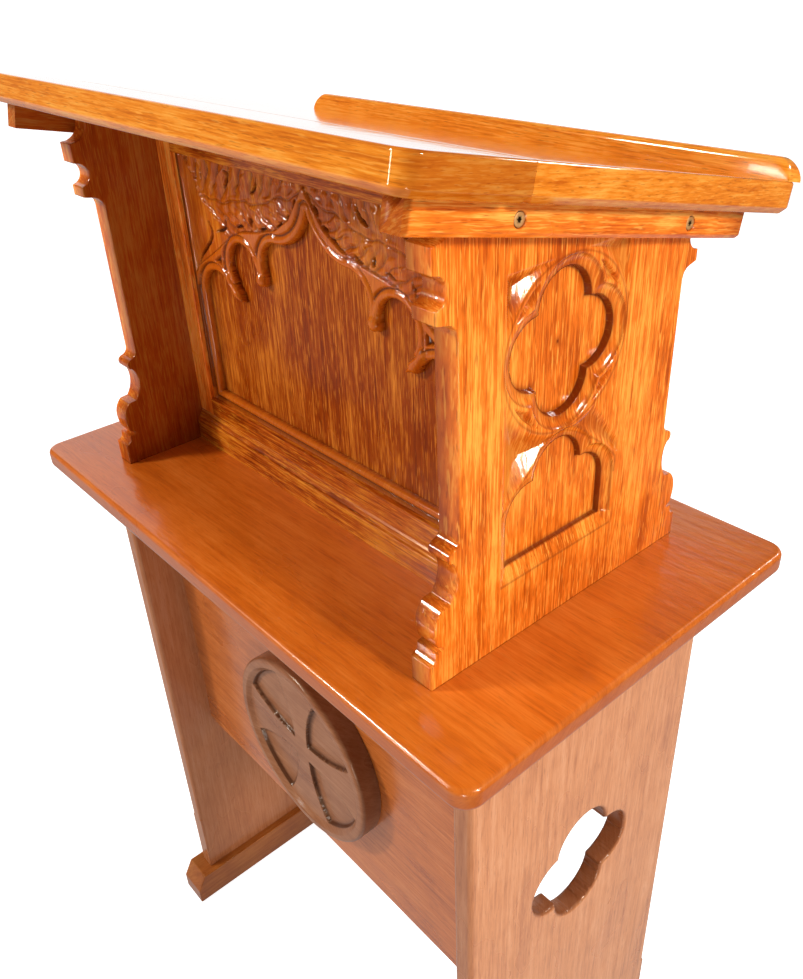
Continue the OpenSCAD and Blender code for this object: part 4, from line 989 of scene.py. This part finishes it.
# The batten's section has close points up its outer face, and close rows
# round the screws, for the countersunk seats. The front end is chamfered.
outline = np.concatenate([
    eased([(outer_x, 0), (276.8, 0), (batten_out, 3)], [0.5, 1.0, 0.5])[1:-5],
    np.stack([np.full(29, batten_out), np.linspace(3.6, 20.9, 29)], axis=1),
    eased([(batten_out, 3), (batten_out, batten_h), (outer_x, batten_h), (outer_x, 0)], 0.5)[6:]])
end_steps = rounding(0.5, 5)[1]
near_screws = np.concatenate([at + np.linspace(-7.2, 7.2, 25) for at in screws_at])
along = np.sort(np.concatenate([end_steps, [2.2, 4, 20, 50], near_screws, [140, 180, 220, 310],
                                batten_l - end_steps]))
pull = np.interp(along, [0, 0.5, batten_l - 0.5, batten_l], [0.5, 0, 0, 0.5])[:, None]
chamfer = np.interp(along, [0, 3.0], [3.0, 0.0])[:, None]
x = np.minimum(outline[:, 0], batten_out - chamfer)
h = np.clip(outline[:, 1], pull, batten_h - pull * 0.2)
lengthwise = np.broadcast_to(along[:, None], x.shape)
outer_face = (x > batten_out - 0.01) & (h > 3.7) & (h < 20.8)
lengthwise, h = drawn_to(lengthwise, h, from_screw, [4.9, 5.8], 0.38, outer_face)
off = from_screw(lengthwise, h)
x = x - np.where(outer_face, np.interp(off, [2.6, 3.6, 4.9, 5.8], [5.0, 1.7, 1.3, 0.0]), 0)
# The screws' seats and the side against the panel carry painted shade; the ends are darker.
end_dark = np.interp(along, [0, 0.4, 3.0, 3.6, 345, 348.6], [0.5, 0.5, 0.5, 0, 0, 0.5])[:, None]
sunk = np.maximum.reduce([np.where(outer_face & (off < 5.7), 0.85, 0), np.broadcast_to(end_dark, x.shape),
                          np.where(x < outer_x + 0.3, 0.7, 0.0)])
# Golden like the stiles, with less gloss than the desk above.
batten_oak = oak("oak_golden_varnish_batten", "Y", "X", 60, "#C05210", "#F07C20", "#FFB450", "#6E2404", 0.22,
                 coat=0.5, ior=1.3, tilt=12.5)
for name, side in (("batten_left", -1), ("batten_right", 1)):
    grid = on_slope(lengthwise, side * x, h)
    piece(name, *loft(grid, flip=side > 0), batten_oak, "desk_oak", name, sunk=sunk)


# The book stop: a rounded strip glued along the low edge of the desk, its
# ends rounded down to the board.
stop_h, stop_top_s, stop_low_s = 17.0, 365, 384
drop, inset = rounding(stop_h, 12)
reach, heights = desk_half - inset, np.maximum(stop_h - drop, 0.4)
loops = []
for end, height in zip(np.concatenate([-reach, reach[::-1]]), np.concatenate([heights, heights[::-1]])):
    crown = min(6.0, height * 0.45)
    ring = eased([(stop_top_s, desk_top), (stop_low_s, desk_top), (stop_low_s, desk_top + height),
                  (stop_top_s, desk_top + height)], [0.1, 0.1, crown, crown])
    loops.append(on_slope(ring[:, 0], np.full(len(ring), end), ring[:, 1]))
piece("book_stop", *loft(np.array(loops)), desk_oak, "desk_oak", "book_stop",
      polish=np.full(len(loops) * len(loops[0]), 0.5))


# The fixings: brass wood screws with a six-lobed recess, and beech dowels
# hidden in the joints.

# Turned brass, dull and warm with age; its patches are 1.1 mm, coarser than
# real turning marks so that they show. Dirt and painted shade blacken the
# recess and darken the head's rim.
brass = bpy.data.materials.new("brass_turned")
tree = emptied(brass)
place = add(tree, "ShaderNodeTexCoord")
turned = add(tree, "ShaderNodeTexNoise", {"Vector": place.outputs["Object"], "Scale": 900.0, "Detail": 2.0})
tone = add(tree, "ShaderNodeMix", {"Factor": turned.outputs[0], 6: linear("#E8A860"), 7: linear("#FFD898")},
           data_type="RGBA")
rough = add(tree, "ShaderNodeMapRange", {"Value": turned.outputs[0], "To Min": 0.55, "To Max": 0.7})
dirt_and_shade = add(tree, "ShaderNodeAttribute", attribute_name="sunk")
tone = add(tree, "ShaderNodeMix", {"Factor": dirt_and_shade.outputs["Fac"], 6: tone.outputs[2], 7: linear("#1A0E06")},
           data_type="RGBA")
metal = add(tree, "ShaderNodeBsdfPrincipled", {"Base Color": tone.outputs[2], "Metallic": 1.0,
                                               "Roughness": rough.outputs[0]})
add(tree, "ShaderNodeOutputMaterial", {"Surface": metal.outputs[0]})
# Pale beech, dry and plain.
beech = oak("beech_dowel", "Z", "X", 45, "#A8784A", "#C09060", "#D0A878", "#8A5C34", 0.6, fleck=0.2)

# Each ring of a screw, from the recess's floor over the head and down the
# shank: depth below the head, the recess's outline or none of it, the radius
# added to it, and the darkening by dirt and painted shade.
rings = np.array([(2.2, 0, 0.05, 0.95), (2.2, 0.94, 0, 0.95), (0.35, 1, 0, 0.8), (0.12, 1, 0.12, 0.2),
                  (0, 0, 3.4, 0), (0.12, 0, 4.5, 0), (0.35, 0, 4.75, 0.5), (2.9, 0, 2.25, 0.3),
                  (34, 0, 2.25, 0), (36, 0, 1.9, 0), (38, 0, 0.4, 0)])
head_x, turn = 279.2, np.linspace(0, 2 * np.pi, 49)[:-1]
radius = rings[:, 1:2] * (1.75 + 0.42 * np.cos(6 * turn)) + rings[:, 2:3]
level = np.broadcast_to(rings[:, :1], radius.shape)
screws = []
for side in (-1, 1):
    for at in screws_at:
        screws.append(loft(on_slope(at + radius * np.cos(turn), side * (head_x - level),
                                    batten_mid + radius * np.sin(turn)), flip=side > 0))
firsts = [k * radius.size for k in range(len(screws))]
piece("batten_screws", np.concatenate([points for points, quads, caps in screws]),
      np.concatenate([quads + first for (points, quads, caps), first in zip(screws, firsts)]),
      [cap + first for (points, quads, caps), first in zip(screws, firsts) for cap in caps],
      brass, "screw_brass", "batten_screws", sunk=np.tile(np.repeat(rings[:, 3], len(turn)), len(screws)))
for material, names in ((brass, ("desk_screws", "medallion_screws")),
                        (beech, ("stand_dowels", "apron_dowels", "side_panel_dowels"))):
    for name in names:
        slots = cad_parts[name].data.materials
        slots.clear()
        slots.append(material)
